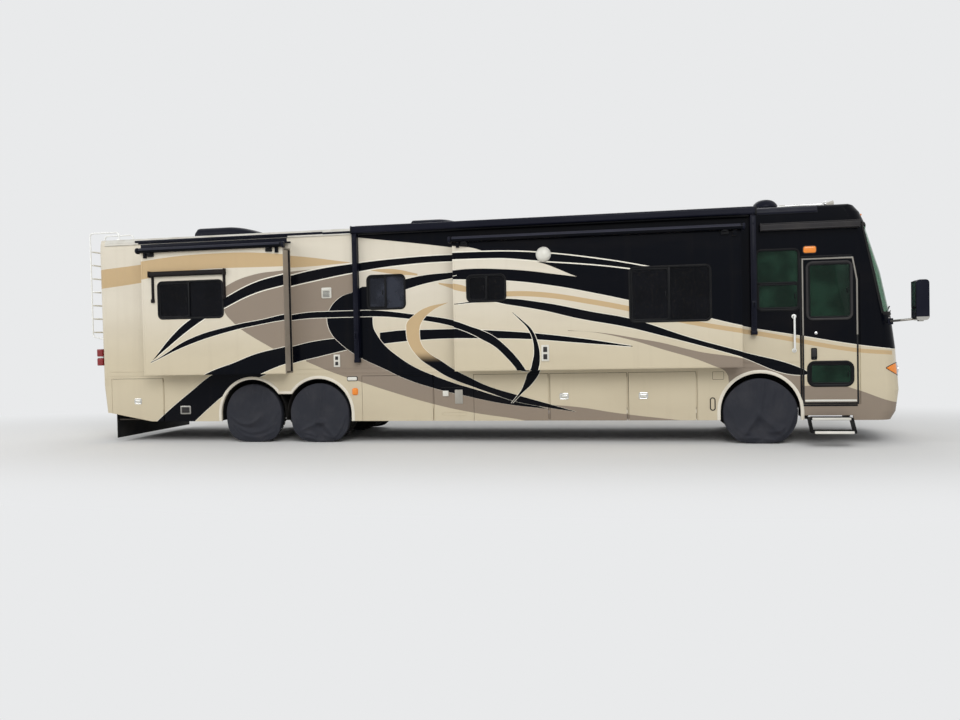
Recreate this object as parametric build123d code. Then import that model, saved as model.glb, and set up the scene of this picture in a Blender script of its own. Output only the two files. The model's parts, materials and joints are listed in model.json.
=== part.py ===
"""Rear-engine motorhome: three axles, three slide-out rooms, front entry door and basement bays.

Millimetres. +X is forward, +Y the driver's side, +Z up, and the ground is z = 0.
Sizes are written in the coach's own frame, whose x = 0 lies half way along the body,
and every piece is moved by CENTRE_SHIFT as it is exported.
"""
from build123d import *
import math
import os

# Body shell
HALF_WIDTH = 1280
WALL = 45                      # side wall, skirt and door thickness
HOUSE_REAR_X = -6280           # where the rear cap meets the side walls
HOUSE_FRONT_X = 6090           # where the front cap meets the side walls
CAP_ROOF_X = 5500              # where the front cap meets the roof
SKIRT_Z = 360
REAR_SKIRT_Z = 510
REAR_SLOPE_X = -5470
DECK_Z = 1130                  # top of the floor
DECK = 60
WALL_TOP_Z = 3430
ROOF_RISE = 160                # crown of the roof above the walls' top
ROOF_CROWN_Z = WALL_TOP_Z + ROOF_RISE
ROOF_DROP = 45                 # shoulder of the roof below its crown
ROOF_SHOULDER_Z = ROOF_CROWN_Z - ROOF_DROP
ROOF_EDGE = 50                 # upright edge of the roof above the walls' top
ROOF_EDGE_R = 110              # how far the rounded edge reaches inboard
ROOF = 60
ROOF_LIP = 10
SHELL = 45                     # thickness of the moulded caps
GAP = 6                        # between a door and its opening
SEAT = 0.3                     # between pieces that carry one another

# Axles and wheels
AXLE_Z = 490
FRONT_AXLE_X = 4660
DRIVE_AXLE_X = -2380
TAG_AXLE_X = -3570
WHEEL_Y = 1105
TWIN_SPACING = 330
TYRE_R = 490
TYRE_WIDTH = 280
RIM_R = 286
RIM_WALL = 14
HUB_R = 60
SPRING_R = 95
PAD_HALF = 70
PAD_Z = AXLE_Z + HUB_R + 5     # top of the pads that the air springs stand on
ARCH_CLEAR = 90
ARCH_R = TYRE_R + ARCH_CLEAR
KINGPIN_Y = 980
KINGPIN_R = 20
COVER = 8
COVER_Z = 5                    # lowest edge of a wheel cover
COVER_LIP = 130                # how far a cover reaches over the tread

# Chassis
RAIL_Y = 430
RAIL_H = 250
RAIL_W = 80
RAIL_T = 10
RAIL_TOP_Z = 850
RAIL_X = (-6180, 6000)
CROSS_X = (-4350, -2975, -1300, 0, 1500, 3000, 4100, 5300)
CROSS_HALF = 40
DECK_POST_X = (-5700, -4350, -1630, 250, 2000, 3950, 5250)
DECK_POST_HALF = 30
HITCH_X = -6450
HITCH_Z = 470
HITCH_HALF = 32                # outside of the receiver's square tube
HITCH_WALL = 6.5
HITCH_PIN_R = 8
HITCH_PIN_SET = 65
BAY_FLOOR_Z = 380
BAY_FLOOR = 20
PILLAR = 22
SEAM = 2 * GAP + PILLAR

# Slide-out rooms: name, side (-1 right), x from, x to, z from, z to, windows (x from, x to, z from, z to)
SLIDE_OUT = 300                # how far the rooms stand out as parked
SLIDE_SHUT = 5                 # between a shut room's face lip and the wall
SLIDE_DEPTH = 1000
SLIDE_LIP = 35
SLIDE_GAP = 10
SLIDE_PANEL = 40
TOPPER_R = 42
SLIDES = (
    ("slide_bedroom", -1, -5365, -2855, 1205, WALL_TOP_Z - 215, ((-5090, -3910, 2130, 2740),)),
    ("slide_living", -1, 65, 4355, 1205, WALL_TOP_Z - 265, ((260, 860, 2260, 2660), (2770, 3940, 1880, 2690))),
    ("slide_driver_side", 1, -1900, 3900, 1205, WALL_TOP_Z - 265, ((-1400, -600, 2150, 2700), (2300, 3500, 1880, 2690))),
)
RUNNER_W = 60
RUNNER_INSET = 250

# Fixed side windows: side, x from, x to, z from, z to
SIDE_WINDOWS = (
    (-1, -1480, -850, 2200, 2740),
    (-1, 4630, 5230, 2010, 2900),
    (1, 4630, 5230, 2010, 2900),
    (1, -4900, -3900, 2200, 2740),
)
WINDOW_CORNER = 60
GLASS = 12
GLASS_INSET = 10

# Baggage doors: name, side, x from, x to (hinged at x to)
DOOR_TOP_Z = 1100
BAGGAGE_DOORS = (
    ("baggage_door_right_1", -1, -6230, -5245),
    ("baggage_door_right_2", -1, -1613, -417),
    ("baggage_door_right_3", -1, 267, 1463),
    ("baggage_door_right_4", -1, 1497, 2683),
    ("baggage_door_right_5", -1, 2717, 3723),
    ("baggage_door_left_1", 1, -6230, -5245),
    ("baggage_door_left_2", 1, -1613, 640),
    ("baggage_door_left_3", 1, 1497, 3723),
)
BULKHEAD_X = (-5228, -4265, -1630, -400, 250, 1480, 2700, 3950)
HINGE_R = 7
HINGE_PIN_R = 3.5
HINGE_SET = 8                  # from the door's edge and face to the hinge's axis
KNUCKLE = 30

# Entry door
ENTRY_X = (5270, 6050)
ENTRY_Z = (600, 2760)
ENTRY_CUT = (60, 340)          # the sloped top front corner
ENTRY_HINGES = ((1500, 2300), (660, 1060))
RECESS_RISE = 90               # the recess beside the hinges runs this far up the slope
ENTRY_GLASS = (5350, 5960, 1860, 2690)
ENTRY_LOWER_GLASS = (5360, 5960, 880, 1210)
SILL_NOTCH_Z = 430
WELL_X = (5265, 6075)
WELL_Y = 620
WELL_FLOOR_Z = 580
WELL_TREAD_Z = 850
WELL_T = 20

# Entry steps
STEP_X = (5340, 5910)
STEP_T = 30
STEP_DEPTH = 215
STEP_UPPER_Z = 410
STEP_LOWER_Z = 235
STEP_ARM = 15
STEP_RUNNER_Y = 800
STEP_RUNNER_H = 40

# Front cap sections: z, nose x on the centre line, x where the front meets the corner
FRONT_SECTIONS = (
    (360, 6640, 6530),
    (480, 6710, 6600),
    (800, 6750, 6645),
    (1420, 6715, 6602),
    (1880, 6655, 6545),
    (2530, 6545, 6415),
    (ROOF_CROWN_Z - 320, 6335, 6195),
    (ROOF_CROWN_Z - 160, 6260, 6125),
    (ROOF_CROWN_Z - 60, 6175, 6040),
    (ROOF_CROWN_Z, 6010, 5880),
)
FRONT_CORNER_R = 240
SHIELD_Z = (1920, WALL_TOP_Z - 180)
SHIELD_Y = HALF_WIDTH + 10
NOSE_X = (HOUSE_FRONT_X - 90, HOUSE_FRONT_X + 910)     # bounds the cap's openings, fore and aft
SHIELD_EDGE_X = (HOUSE_FRONT_X + 300, HOUSE_FRONT_X + 35)   # sloped rear edge of the glass, at its foot and head
JOINT_LOW_Z = 2620             # the joint of wall and front cap slopes back above this height
JOINT_TOP_X = HOUSE_FRONT_X - 290
SHIELD_POST = 14
SHIELD_T = 12
HEADLAMP_Y = (800, 1225)
HEADLAMP_Z = (1130, 1380)
GRILLE_Y = 700
GRILLE_Z = (560, 900)
GRILLE_BARS = 6

# Rear cap sections: z, x of the flat middle, x at the corner, corner radius
REAR_X = -6520                 # the flat back
REAR_SECTIONS = (
    (REAR_SKIRT_Z, REAR_X + 100, REAR_X + 170, 60),
    (1000, REAR_X, REAR_X + 80, 140),
    (ROOF_CROWN_Z - 240, REAR_X, REAR_X + 70, 150),
    (ROOF_CROWN_Z - 120, REAR_X + 30, REAR_X + 90, 130),
    (ROOF_CROWN_Z, REAR_X + 120, REAR_X + 150, 70),
)
REAR_FLAT_Y = 820
TAIL_LAMP_Y = (1050, 1245)
TAIL_LAMP_Z = (1340, 1640)
TAIL_LAMP_X = (REAR_X - 80, REAR_X + 220)
ENGINE_DOOR_Y = 700
ENGINE_DOOR_Z = (1040, 1760)
LOUVRES = 9
LOUVRE_EDGE = 60

# Fittings
AWNING_X = (-1700, 4620)
AWNING_Y = (HALF_WIDTH + ROOF_LIP + 2, HALF_WIDTH + ROOF_LIP + 122)
AWNING_Z = (WALL_TOP_Z + 2, WALL_TOP_Z + 120)
AWNING_ARM_W = 80
AWNING_ARM_D = 100
AWNING_ARM_Z = (1330, 1650)    # foot of the rear arm and of the front arm
DOOR_AWNING_X = (4690, 6060)
DOOR_AWNING_Z = (WALL_TOP_Z - 250, WALL_TOP_Z - 140)
LADDER_X = REAR_X - 210
LADDER_Y = (-1060, -640)
LADDER_R = 13
LADDER_LOW_Z = 1800
LADDER_TOP_Z = ROOF_CROWN_Z + 110
LADDER_HOOK_X = -6150          # where a rail comes down on the roof
LADDER_RUNGS = 7
RUNG_LOW_Z = LADDER_LOW_Z + 140
RUNG_HIGH_Z = LADDER_TOP_Z - 320
MIRROR_X = (6720, 6890)
MIRROR_Y = (1470, 1710)
MIRROR_Z = (1800, 2370)
MIRROR_ARM_R = 17
MIRROR_FOOT_X = 6480
FLAP_X = -6220
FLAP_Y = HALF_WIDTH - 100
FLAP_T = 12
FLAP_Z = (60, 520)
AC_UNITS = ((-5130, -3870, 260), (-1030, -70, 215))     # x from, x to, height above the roof's crown
AC_HALF_W = 360
DOME_AT = (4865, -450)
DOME_R = 200
DOME_H = 180                   # above the crown
HORN_X = (5050, 5835)
HORN_Y = -700
HORN_Z = ROOF_CROWN_Z + 30
HORN_R = 22
HORN_BELL_R = 60
ENGINE_X = (-5950, -4750)
ENGINE_HALF_W = RAIL_Y - RAIL_W - SEAT
ENGINE_Z = (470, 1040)

# Cab
DASH_X = (5900, 6330)
DASH_TOP_Z = 1830
STEERING_AT = (5720, 520, 1900)
STEERING_R = 225
STEERING_GRIP_R = 16
STEERING_TILT = 40
COLUMN_R = 20
SEATS_Y = (520, -330)
SEAT_X = (4750, 5300)
SEAT_HALF_W = 280

# The mirrors lead in front and the ladder ends the vehicle behind
CENTRE_SHIFT = -(MIRROR_X[1] + LADDER_X - LADDER_R) / 2


def block(x, y, z):
    """Box between the two ends of each of the ranges x, y and z."""
    size = [abs(r[1] - r[0]) for r in (x, y, z)]
    middle = [(r[0] + r[1]) / 2 for r in (x, y, z)]
    return Pos(*middle) * Box(*size)


def span(side, near, far):
    """Range along Y on one side of the coach, from two distances off its middle."""
    return (side * near, side * far)


def panel(points, side, outer, thick):
    """Upright plate with an outline in x and z, its outer face `outer` off the middle."""
    face = make_face(Polyline(*points, close=True))
    plate = extrude(Plane.XZ * face, amount=thick)      # grows towards -Y
    return Pos(0, -outer + thick, 0) * plate if side < 0 else Pos(0, outer, 0) * plate


def opening(x0, x1, z0, z1, side, near, far, radius=WINDOW_CORNER):
    """Round-cornered block through a wall, for a window or its glass."""
    shape = Pos((x0 + x1) / 2, (z0 + z1) / 2) * RectangleRounded(x1 - x0, z1 - z0, radius)
    solid = extrude(Plane.XZ * shape, amount=far - near)
    return Pos(0, -near, 0) * solid if side < 0 else Pos(0, far, 0) * solid


def rod(start, end, radius):
    """Round bar between two points."""
    line = Line(start, end)
    return sweep(Plane(origin=start, z_dir=line % 0) * Circle(radius), path=line)


def tube_path(points, radius, bend):
    """Bent tube through points, its corners rounded with one bend radius."""
    path = FilletPolyline(*points, radius=bend)
    return sweep(Plane(origin=points[0], z_dir=path % 0) * Circle(radius), path=path)


def edge_hinge(length):
    """Hinge along local Z, door towards -X and the body towards +Y.

    Returns the door's barrel with its web, and the fixed pin with its two end knuckles."""
    half = length / 2
    barrel = Cylinder(HINGE_R, length - 2 * KNUCKLE - 2) - Cylinder(HINGE_PIN_R + SEAT, length)
    web = block((-HINGE_SET, 0), (-2, 3), (-half + KNUCKLE + 1, half - KNUCKLE - 1))
    web -= Cylinder(HINGE_R - 1, length)
    pin = Cylinder(HINGE_PIN_R, length)
    for end in (-1, 1):
        knuckle = Pos(0, 0, end * (half - KNUCKLE / 2)) * Cylinder(HINGE_R, KNUCKLE)
        foot = block((-2, 2 + PILLAR / 2), (0, HINGE_SET + 9), sorted((end * (half - KNUCKLE), end * half)))
        pin += knuckle + foot
    return barrel + web, pin


def side_hinge(x_edge, z0, z1, side):
    """Hinge at the front edge of a side door, from z0 to z1."""
    swing, fixed = edge_hinge(z1 - z0)
    place = Pos(x_edge + HINGE_SET, -HALF_WIDTH + HINGE_SET, (z0 + z1) / 2)
    swing, fixed = place * swing, place * fixed
    if side > 0:
        return mirror(swing, about=Plane.XZ), mirror(fixed, about=Plane.XZ)
    return swing, fixed


def arch_cut(axle_x, side):
    """Wheel-arch opening: a round top over straight sides."""
    near, far = HALF_WIDTH - WALL - 5, HALF_WIDTH + 5
    y = side * (near + far) / 2
    disc = Pos(axle_x, y, AXLE_Z) * Rot(90, 0, 0) * Cylinder(ARCH_R, far - near)
    return disc + block((axle_x - ARCH_R, axle_x + ARCH_R), span(side, near, far), (0, AXLE_Z))


# Chassis and running gear
def chassis_frame():
    """Two channel rails, their cross members and the hitch receiver."""
    low = RAIL_TOP_Z - RAIL_H
    profile = Polyline((0, 0), (RAIL_W, 0), (RAIL_W, RAIL_T), (RAIL_T, RAIL_T), (RAIL_T, RAIL_H - RAIL_T),
                       (RAIL_W, RAIL_H - RAIL_T), (RAIL_W, RAIL_H), (0, RAIL_H), close=True)
    channel = extrude(Plane.YZ * make_face(profile), amount=RAIL_X[1] - RAIL_X[0])
    left = Pos(RAIL_X[0], RAIL_Y, low) * mirror(channel, about=Plane.XZ)
    right = mirror(left, about=Plane.XZ)
    frame = left + right
    inner = RAIL_Y - RAIL_T
    for x in (RAIL_X[0] + 60, *CROSS_X, RAIL_X[1] - 60):
        frame += block((x - CROSS_HALF, x + CROSS_HALF), (-inner, inner), (low + 40, low + 150))
    half, bore = HITCH_HALF, HITCH_HALF - HITCH_WALL
    receiver = block((HITCH_X, RAIL_X[0] + 100), (-half, half), (HITCH_Z - half, HITCH_Z + half))
    receiver -= block((HITCH_X - 1, HITCH_X + 300), (-bore, bore), (HITCH_Z - bore, HITCH_Z + bore))
    receiver -= Pos(HITCH_X + HITCH_PIN_SET, 0, HITCH_Z) * Rot(90, 0, 0) * Cylinder(HITCH_PIN_R, 100)
    hanger = block((RAIL_X[0] + 20, RAIL_X[0] + 100), (-60, 60), (HITCH_Z + half, low + 40))
    return frame + receiver + hanger


def outriggers():
    """Cross plates under the deck that carry the bay floors, with notches for the rails."""
    low, deck_low = BAY_FLOOR_Z, DECK_Z - DECK
    body = None
    for x in BULKHEAD_X:
        plate = block((x - PILLAR / 2, x + PILLAR / 2), (-HALF_WIDTH + WALL, HALF_WIDTH - WALL), (low, deck_low))
        body = plate if body is None else body + plate
    for x0, x1 in ((BULKHEAD_X[0] - 900, BULKHEAD_X[1]), (BULKHEAD_X[2], BULKHEAD_X[-1])):
        for side in (-1, 1):
            body += block((x0, x1), span(side, RAIL_Y + 30, HALF_WIDTH - WALL - 10), (low, low + BAY_FLOOR))
    notch = block(RAIL_X, (-RAIL_Y, RAIL_Y), (0, RAIL_TOP_Z))
    engine_room = block((ENGINE_X[0] - 50, ENGINE_X[1] + 50), (-ENGINE_HALF_W - 40, ENGINE_HALF_W + 40), (0, deck_low))
    return body - notch - engine_room


def floor_deck():
    """Floor of the house with the basement under it and the entry stepwell."""
    deck = block((HOUSE_REAR_X, HOUSE_FRONT_X + 240), (-HALF_WIDTH + WALL, HALF_WIDTH - WALL), (DECK_Z - DECK, DECK_Z))
    well = (WELL_X, (-HALF_WIDTH + WALL + 5, -WELL_Y), (WELL_FLOOR_Z, DECK_Z))
    deck -= block(well[0], (-HALF_WIDTH, -WELL_Y), (0, DECK_Z + 10))
    for x in (HOUSE_FRONT_X, HOUSE_FRONT_X + 240):
        deck -= block((x, x + 400), (HALF_WIDTH - 200, HALF_WIDTH), (0, DECK_Z + 10))
        deck -= block((x, x + 400), (-HALF_WIDTH, -HALF_WIDTH + 200), (0, DECK_Z + 10))
    shell = block((well[0][0] - WELL_T, well[0][1]), (well[1][0], well[1][1] + WELL_T), (WELL_FLOOR_Z - WELL_T, DECK_Z))
    shell -= block((well[0][0], well[0][1] - WELL_T), (-HALF_WIDTH, well[1][1]), (WELL_FLOOR_Z, DECK_Z + 10))
    tread = block(well[0], (-WELL_Y - 300, -WELL_Y), (WELL_TREAD_Z - WELL_T, WELL_TREAD_Z))
    body = deck + shell + tread + outriggers()
    for rail_side in (-1, 1):
        for x in DECK_POST_X:
            body += block((x - DECK_POST_HALF, x + DECK_POST_HALF), span(rail_side, RAIL_Y - RAIL_W, RAIL_Y),
                          (RAIL_TOP_Z, DECK_Z - DECK))
    for x in (STEP_X[0] - STEP_ARM / 2, STEP_X[1] + STEP_ARM / 2):
        body += block((x - 20, x + 20), (-HALF_WIDTH + WALL + 20, -WELL_Y - 80), (STEP_UPPER_Z + SEAT, WELL_FLOOR_Z - WELL_T))
    for _, side, x0, x1, z0, _, _ in SLIDES:
        for x in (x0 + RUNNER_INSET, x1 - RUNNER_INSET):
            body += block((x - RUNNER_W / 2, x + RUNNER_W / 2), span(side, 300, HALF_WIDTH - WALL), (DECK_Z, z0 - SEAT))
    return body


def axles():
    """Front beam with its kingpin eyes, drive axle with its differential, and tag axle."""
    beam = block((FRONT_AXLE_X - 60, FRONT_AXLE_X + 60), (-KINGPIN_Y + 30, KINGPIN_Y - 30), (AXLE_Z - 60, AXLE_Z + 50))
    for side in (-1, 1):
        eye = Pos(FRONT_AXLE_X, side * KINGPIN_Y, AXLE_Z) * Cylinder(45, 120)
        beam += eye
        beam -= Pos(FRONT_AXLE_X, side * KINGPIN_Y, AXLE_Z) * Cylinder(KINGPIN_R + SEAT, 200)
    front = beam + air_springs(FRONT_AXLE_X)
    end = WHEEL_Y + 60
    drive = Pos(DRIVE_AXLE_X, 0, AXLE_Z) * Rot(90, 0, 0) * Cylinder(HUB_R, 2 * end)
    drive += Pos(DRIVE_AXLE_X, 0, AXLE_Z) * Rot(90, 0, 0) * Sphere(200)
    drive += air_springs(DRIVE_AXLE_X)
    tag = Pos(TAG_AXLE_X, 0, AXLE_Z) * Rot(90, 0, 0) * Cylinder(HUB_R, 2 * end)
    tag += air_springs(TAG_AXLE_X)
    return Compound([front, drive, tag])


def air_springs(axle_x):
    """Rubber bellows on pads over an axle, that carry the rails."""
    both = None
    low = RAIL_TOP_Z - RAIL_H
    for side in (-1, 1):
        y = side * (RAIL_Y - RAIL_W / 2)
        spring = Pos(axle_x, y, (PAD_Z + low) / 2) * Cylinder(SPRING_R, low - PAD_Z)
        spring += block((axle_x - PAD_HALF, axle_x + PAD_HALF), (y - PAD_HALF, y + PAD_HALF), (AXLE_Z, PAD_Z))
        both = spring if both is None else both + spring
    return both


def knuckle(side):
    """Steering knuckle: fork round the axle eye, kingpin and wheel spindle."""
    x, y = FRONT_AXLE_X, side * KINGPIN_Y
    fork = block((x - 40, x + 40), (y - 45, y + 45), (AXLE_Z + 66, AXLE_Z + 96))
    fork += block((x - 40, x + 40), (y - 45, y + 45), (AXLE_Z - 96, AXLE_Z - 66))
    fork += block((x - 40, x + 40), sorted((y + side * 50, y + side * 75)), (AXLE_Z - 96, AXLE_Z + 96))
    fork += block((x - 40, x + 40), sorted((y + side * 44, y + side * 51)), (AXLE_Z + 66, AXLE_Z + 96))
    fork += block((x - 40, x + 40), sorted((y + side * 44, y + side * 51)), (AXLE_Z - 96, AXLE_Z - 66))
    fork += Pos(x, y, AXLE_Z) * Cylinder(KINGPIN_R, 180)
    spindle_len = WHEEL_Y + 60 - KINGPIN_Y - 60
    spindle = Pos(x, y + side * (60 + spindle_len / 2), AXLE_Z) * Rot(90, 0, 0) * Cylinder(30, spindle_len)
    return fork + spindle


def tyre(y_mid):
    """Tyre on a half axle along Y, its middle at y_mid."""
    w, r0, r1 = TYRE_WIDTH / 2, RIM_R, TYRE_R
    outline = Polyline((r0, -w + 35), (r0 + 70, -w), (r1 - 60, -w + 6), (r1 - 12, -w + 28), (r1, -w + 45),
                       (r1, w - 45), (r1 - 12, w - 28), (r1 - 60, w - 6), (r0 + 70, w), (r0, w - 35), close=True)
    return Pos(0, y_mid, 0) * revolve(make_face(outline), axis=Axis.Y)


def rim(y_mid, bore, disc_y, disc_bore=0):
    """Steel rim: barrel, flat disc and hub, turned about Y; disc_y is measured outboard."""
    w = TYRE_WIDTH / 2 - 30
    barrel = Polyline((RIM_R - RIM_WALL, -w), (RIM_R, -w), (RIM_R, w), (RIM_R - RIM_WALL, w), close=True)
    disc = Polyline((bore, disc_y), (RIM_R - RIM_WALL / 2, disc_y), (RIM_R - RIM_WALL / 2, disc_y + 16), (bore, disc_y + 16),
                    close=True)
    hub = Polyline((bore, disc_y - 50), (bore + 50, disc_y - 50), (bore + 50, disc_y + 40), (bore, disc_y + 40),
                   close=True)
    solid = revolve(make_face(barrel), axis=Axis.Y) + revolve(make_face(disc), axis=Axis.Y)
    solid += revolve(make_face(hub), axis=Axis.Y)
    return Pos(0, y_mid, 0) * solid


def wheel(side, axle_x, bore, twin):
    """One wheel, or a twin pair, of tyres on their rims."""
    parts = [tyre(WHEEL_Y), rim(WHEEL_Y, bore, 20)]
    if twin:
        parts += [tyre(WHEEL_Y - TWIN_SPACING), rim(WHEEL_Y - TWIN_SPACING, bore, -20)]
    solid = Compound(parts)
    if side < 0:
        solid = mirror(solid, about=Plane.XZ)
    return Pos(axle_x, 0, AXLE_Z) * solid


def wheel_cover(side, axle_x):
    """Fabric cover: a face outboard of the tyre and a lip over its tread, hanging open below."""
    face_y = WHEEL_Y + TYRE_WIDTH / 2 + SEAT
    r_in = TYRE_R + 2
    outline = Polyline((0, face_y), (r_in, face_y), (r_in, face_y - COVER_LIP), (r_in + COVER, face_y - COVER_LIP),
                       (r_in + COVER, face_y + COVER), (0, face_y + COVER), close=True)
    cup = Pos(0, 0, AXLE_Z) * revolve(make_face(outline), axis=Axis.Y)
    low_lip = block((-600, 600), (face_y - COVER_LIP - 5, face_y), (-100, 260))
    cup = cup - low_lip - block((-600, 600), (face_y - 1, face_y + COVER + 1), (-100, COVER_Z))
    if side < 0:
        cup = mirror(cup, about=Plane.XZ)
    return Pos(axle_x, 0, 0) * cup


# House
def side_wall(side):
    """Upper side wall with its window, slide-out and entry openings."""
    z0, z1 = DECK_Z, WALL_TOP_Z
    wall = panel(((HOUSE_REAR_X, z0), (HOUSE_FRONT_X, z0), (HOUSE_FRONT_X, JOINT_LOW_Z), (JOINT_TOP_X, z1),
                  (HOUSE_REAR_X, z1)), side, HALF_WIDTH, WALL)
    for _, s, x0, x1, y0, y1, _ in SLIDES:
        if s == side:
            hole = block((x0 - SLIDE_GAP, x1 + SLIDE_GAP), span(side, HALF_WIDTH - 2 * WALL, HALF_WIDTH + 10),
                         (y0 - SLIDE_GAP, y1 + SLIDE_GAP))
            wall -= hole
    for s, x0, x1, y0, y1 in SIDE_WINDOWS:
        if s == side:
            wall -= opening(x0, x1, y0, y1, side, HALF_WIDTH - WALL - 10, HALF_WIDTH + 10)
    if side < 0:
        wall -= entry_outline(GAP, WALL + 20)
        wall -= entry_recess()
        _, fixed = side_hinge(ENTRY_X[1], *ENTRY_HINGES[0], side)
        wall += fixed
    return wall


def skirt(side):
    """Fixed lower panels, wheel arches and the pillars that the baggage doors hang on."""
    top = DECK_Z
    outline = ((HOUSE_REAR_X, top), (HOUSE_REAR_X, REAR_SKIRT_Z), (REAR_SLOPE_X, SKIRT_Z), (HOUSE_FRONT_X, SKIRT_Z),
               (HOUSE_FRONT_X, top))
    body = panel(outline, side, HALF_WIDTH, WALL)
    for axle_x in (FRONT_AXLE_X, DRIVE_AXLE_X, TAG_AXLE_X):
        body -= arch_cut(axle_x, side)
    mid = (DRIVE_AXLE_X + TAG_AXLE_X) / 2
    body -= block((mid - 200, mid + 200), span(side, HALF_WIDTH - WALL - 5, HALF_WIDTH + 5), (0, 820))
    deep = span(side, HALF_WIDTH - WALL - 5, HALF_WIDTH + 5)
    for _, s, x0, x1 in BAGGAGE_DOORS:
        if s != side:
            continue
        body -= block((x0 - GAP, x1 + GAP), deep, (0, DOOR_TOP_Z + GAP))
        recess = block((x1, x1 + GAP + PILLAR), span(side, HALF_WIDTH - HINGE_SET - 9, HALF_WIDTH + 5), (0, DOOR_TOP_Z + GAP))
        body -= recess
        _, fixed = side_hinge(x1, 560, DOOR_TOP_Z - 60, side)
        body += fixed
    if side < 0:
        body -= entry_outline(GAP, WALL + 20)
        body -= block((STEP_X[0] - 60, STEP_X[1] + 60), deep, (0, SILL_NOTCH_Z))
        body -= entry_recess()
        _, fixed = side_hinge(ENTRY_X[1], *ENTRY_HINGES[1], side)
        body += fixed
    return body


def entry_outline(grow, deep):
    """Block with the entry door's outline, grown all round, `deep` thick about the wall."""
    (x0, x1), (z0, z1) = ENTRY_X, ENTRY_Z
    cut_x, cut_z = ENTRY_CUT
    points = ((x0 - grow, z0 - grow), (x1 + grow, z0 - grow), (x1 + grow, z1 - cut_z), (x1 - cut_x + grow, z1 + grow),
              (x0 - grow, z1 + grow))
    extra = (deep - WALL) / 2
    return panel(points, -1, HALF_WIDTH + extra, deep)


def entry_recess():
    """Rebate beside the entry door's hinges, which its edge swings into."""
    return block((ENTRY_X[1] - ENTRY_CUT[0] / 2, ENTRY_X[1] + GAP + PILLAR),
                 (-HALF_WIDTH - 5, -HALF_WIDTH + HINGE_SET + 9),
                 (ENTRY_Z[0] - GAP, ENTRY_Z[1] - ENTRY_CUT[1] + RECESS_RISE))


def entry_door():
    """Front-hinged entry door with its two window openings."""
    door = entry_outline(0, WALL)
    for x0, x1, z0, z1 in (ENTRY_GLASS, ENTRY_LOWER_GLASS):
        door -= opening(x0, x1, z0, z1, -1, HALF_WIDTH - WALL - 10, HALF_WIDTH + 10)
    for z0, z1 in ENTRY_HINGES:
        swing, _ = side_hinge(ENTRY_X[1], z0, z1, -1)
        door += swing
    return door


def glazing(table, side, outer):
    """Panes that fill a side's openings, set in from the outer face."""
    panes = []
    for x0, x1, z0, z1 in table:
        panes.append(opening(x0, x1, z0, z1, side, outer - GLASS_INSET - GLASS, outer - GLASS_INSET))
    return panes


def baggage_door(side, x0, x1):
    """Side-hinged bay door, cut to the rear slope where it lies there."""
    points = [(x0, DOOR_TOP_Z), (x0, SKIRT_Z), (x1, SKIRT_Z), (x1, DOOR_TOP_Z)]
    if x0 < REAR_SLOPE_X:
        rise = (REAR_SKIRT_Z - SKIRT_Z) / (REAR_SLOPE_X - HOUSE_REAR_X)
        points[1:2] = [(x0, SKIRT_Z + rise * (REAR_SLOPE_X - x0)), (REAR_SLOPE_X, SKIRT_Z)]
    door = panel(points, side, HALF_WIDTH, WALL)
    swing, _ = side_hinge(x1, 560, DOOR_TOP_Z - 60, side)
    return door + swing


def slide_room(side, x0, x1, z0, z1, windows):
    """Slide-out room, open inboard, with its face lip and the cover roller on top."""
    face = HALF_WIDTH + SLIDE_OUT
    body = block((x0, x1), span(side, face - SLIDE_DEPTH, face - WALL), (z0, z1))
    body -= block((x0 + SLIDE_PANEL, x1 - SLIDE_PANEL), span(side, face - SLIDE_DEPTH - 10, face - WALL),
                  (z0 + SLIDE_PANEL, z1 - SLIDE_PANEL))
    body += block((x0 - SLIDE_LIP, x1 + SLIDE_LIP), span(side, face - WALL, face), (z0 - SLIDE_LIP, z1 + SLIDE_LIP))
    for wx0, wx1, wz0, wz1 in windows:
        body -= opening(wx0, wx1, wz0, wz1, side, face - WALL - 10, face + 10)
    roller_y = side * (face + TOPPER_R + 5)
    roller_z = z1 + SLIDE_LIP + TOPPER_R - 10
    roller = Pos((x0 + x1) / 2, roller_y, roller_z) * Rot(0, 90, 0) * Cylinder(TOPPER_R, x1 - x0 + 120)
    for x in (x0 + 60, x1 - 60):
        roller += block((x - 25, x + 25), span(side, face, face + TOPPER_R), (z1 - 60, roller_z))
    return body + roller


def crown(inset, x0, x1):
    """Solid below the roof's crowned outline, or below one inside it."""
    w = HALF_WIDTH + ROOF_LIP - inset
    rise, shoulder = WALL_TOP_Z + ROOF_EDGE - inset, ROOF_SHOULDER_Z - inset
    lean = ROOF_EDGE_R * (1 - math.sin(math.radians(45)))
    outline = (Line((-w, 0), (-w, rise)) + ThreePointArc((-w, rise), (-w + lean, shoulder - 24), (-w + ROOF_EDGE_R, shoulder))
               + ThreePointArc((-w + ROOF_EDGE_R, shoulder), (0, ROOF_CROWN_Z - inset), (w - ROOF_EDGE_R, shoulder))
               + ThreePointArc((w - ROOF_EDGE_R, shoulder), (w - lean, shoulder - 24), (w, rise)) + Line((w, rise), (w, 0))
               + Line((w, 0), (-w, 0)))
    return Pos(x0, 0, 0) * extrude(Plane.YZ * make_face(outline), amount=x1 - x0)


def roof():
    """Crowned roof shell with a lip over the side walls."""
    shell = crown(0, HOUSE_REAR_X, CAP_ROOF_X) - crown(ROOF, HOUSE_REAR_X - 10, CAP_ROOF_X + 10)
    shell -= block((HOUSE_REAR_X - 10, CAP_ROOF_X + 10), (-HALF_WIDTH - 50, HALF_WIDTH + 50), (-10, WALL_TOP_Z))
    return shell


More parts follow.
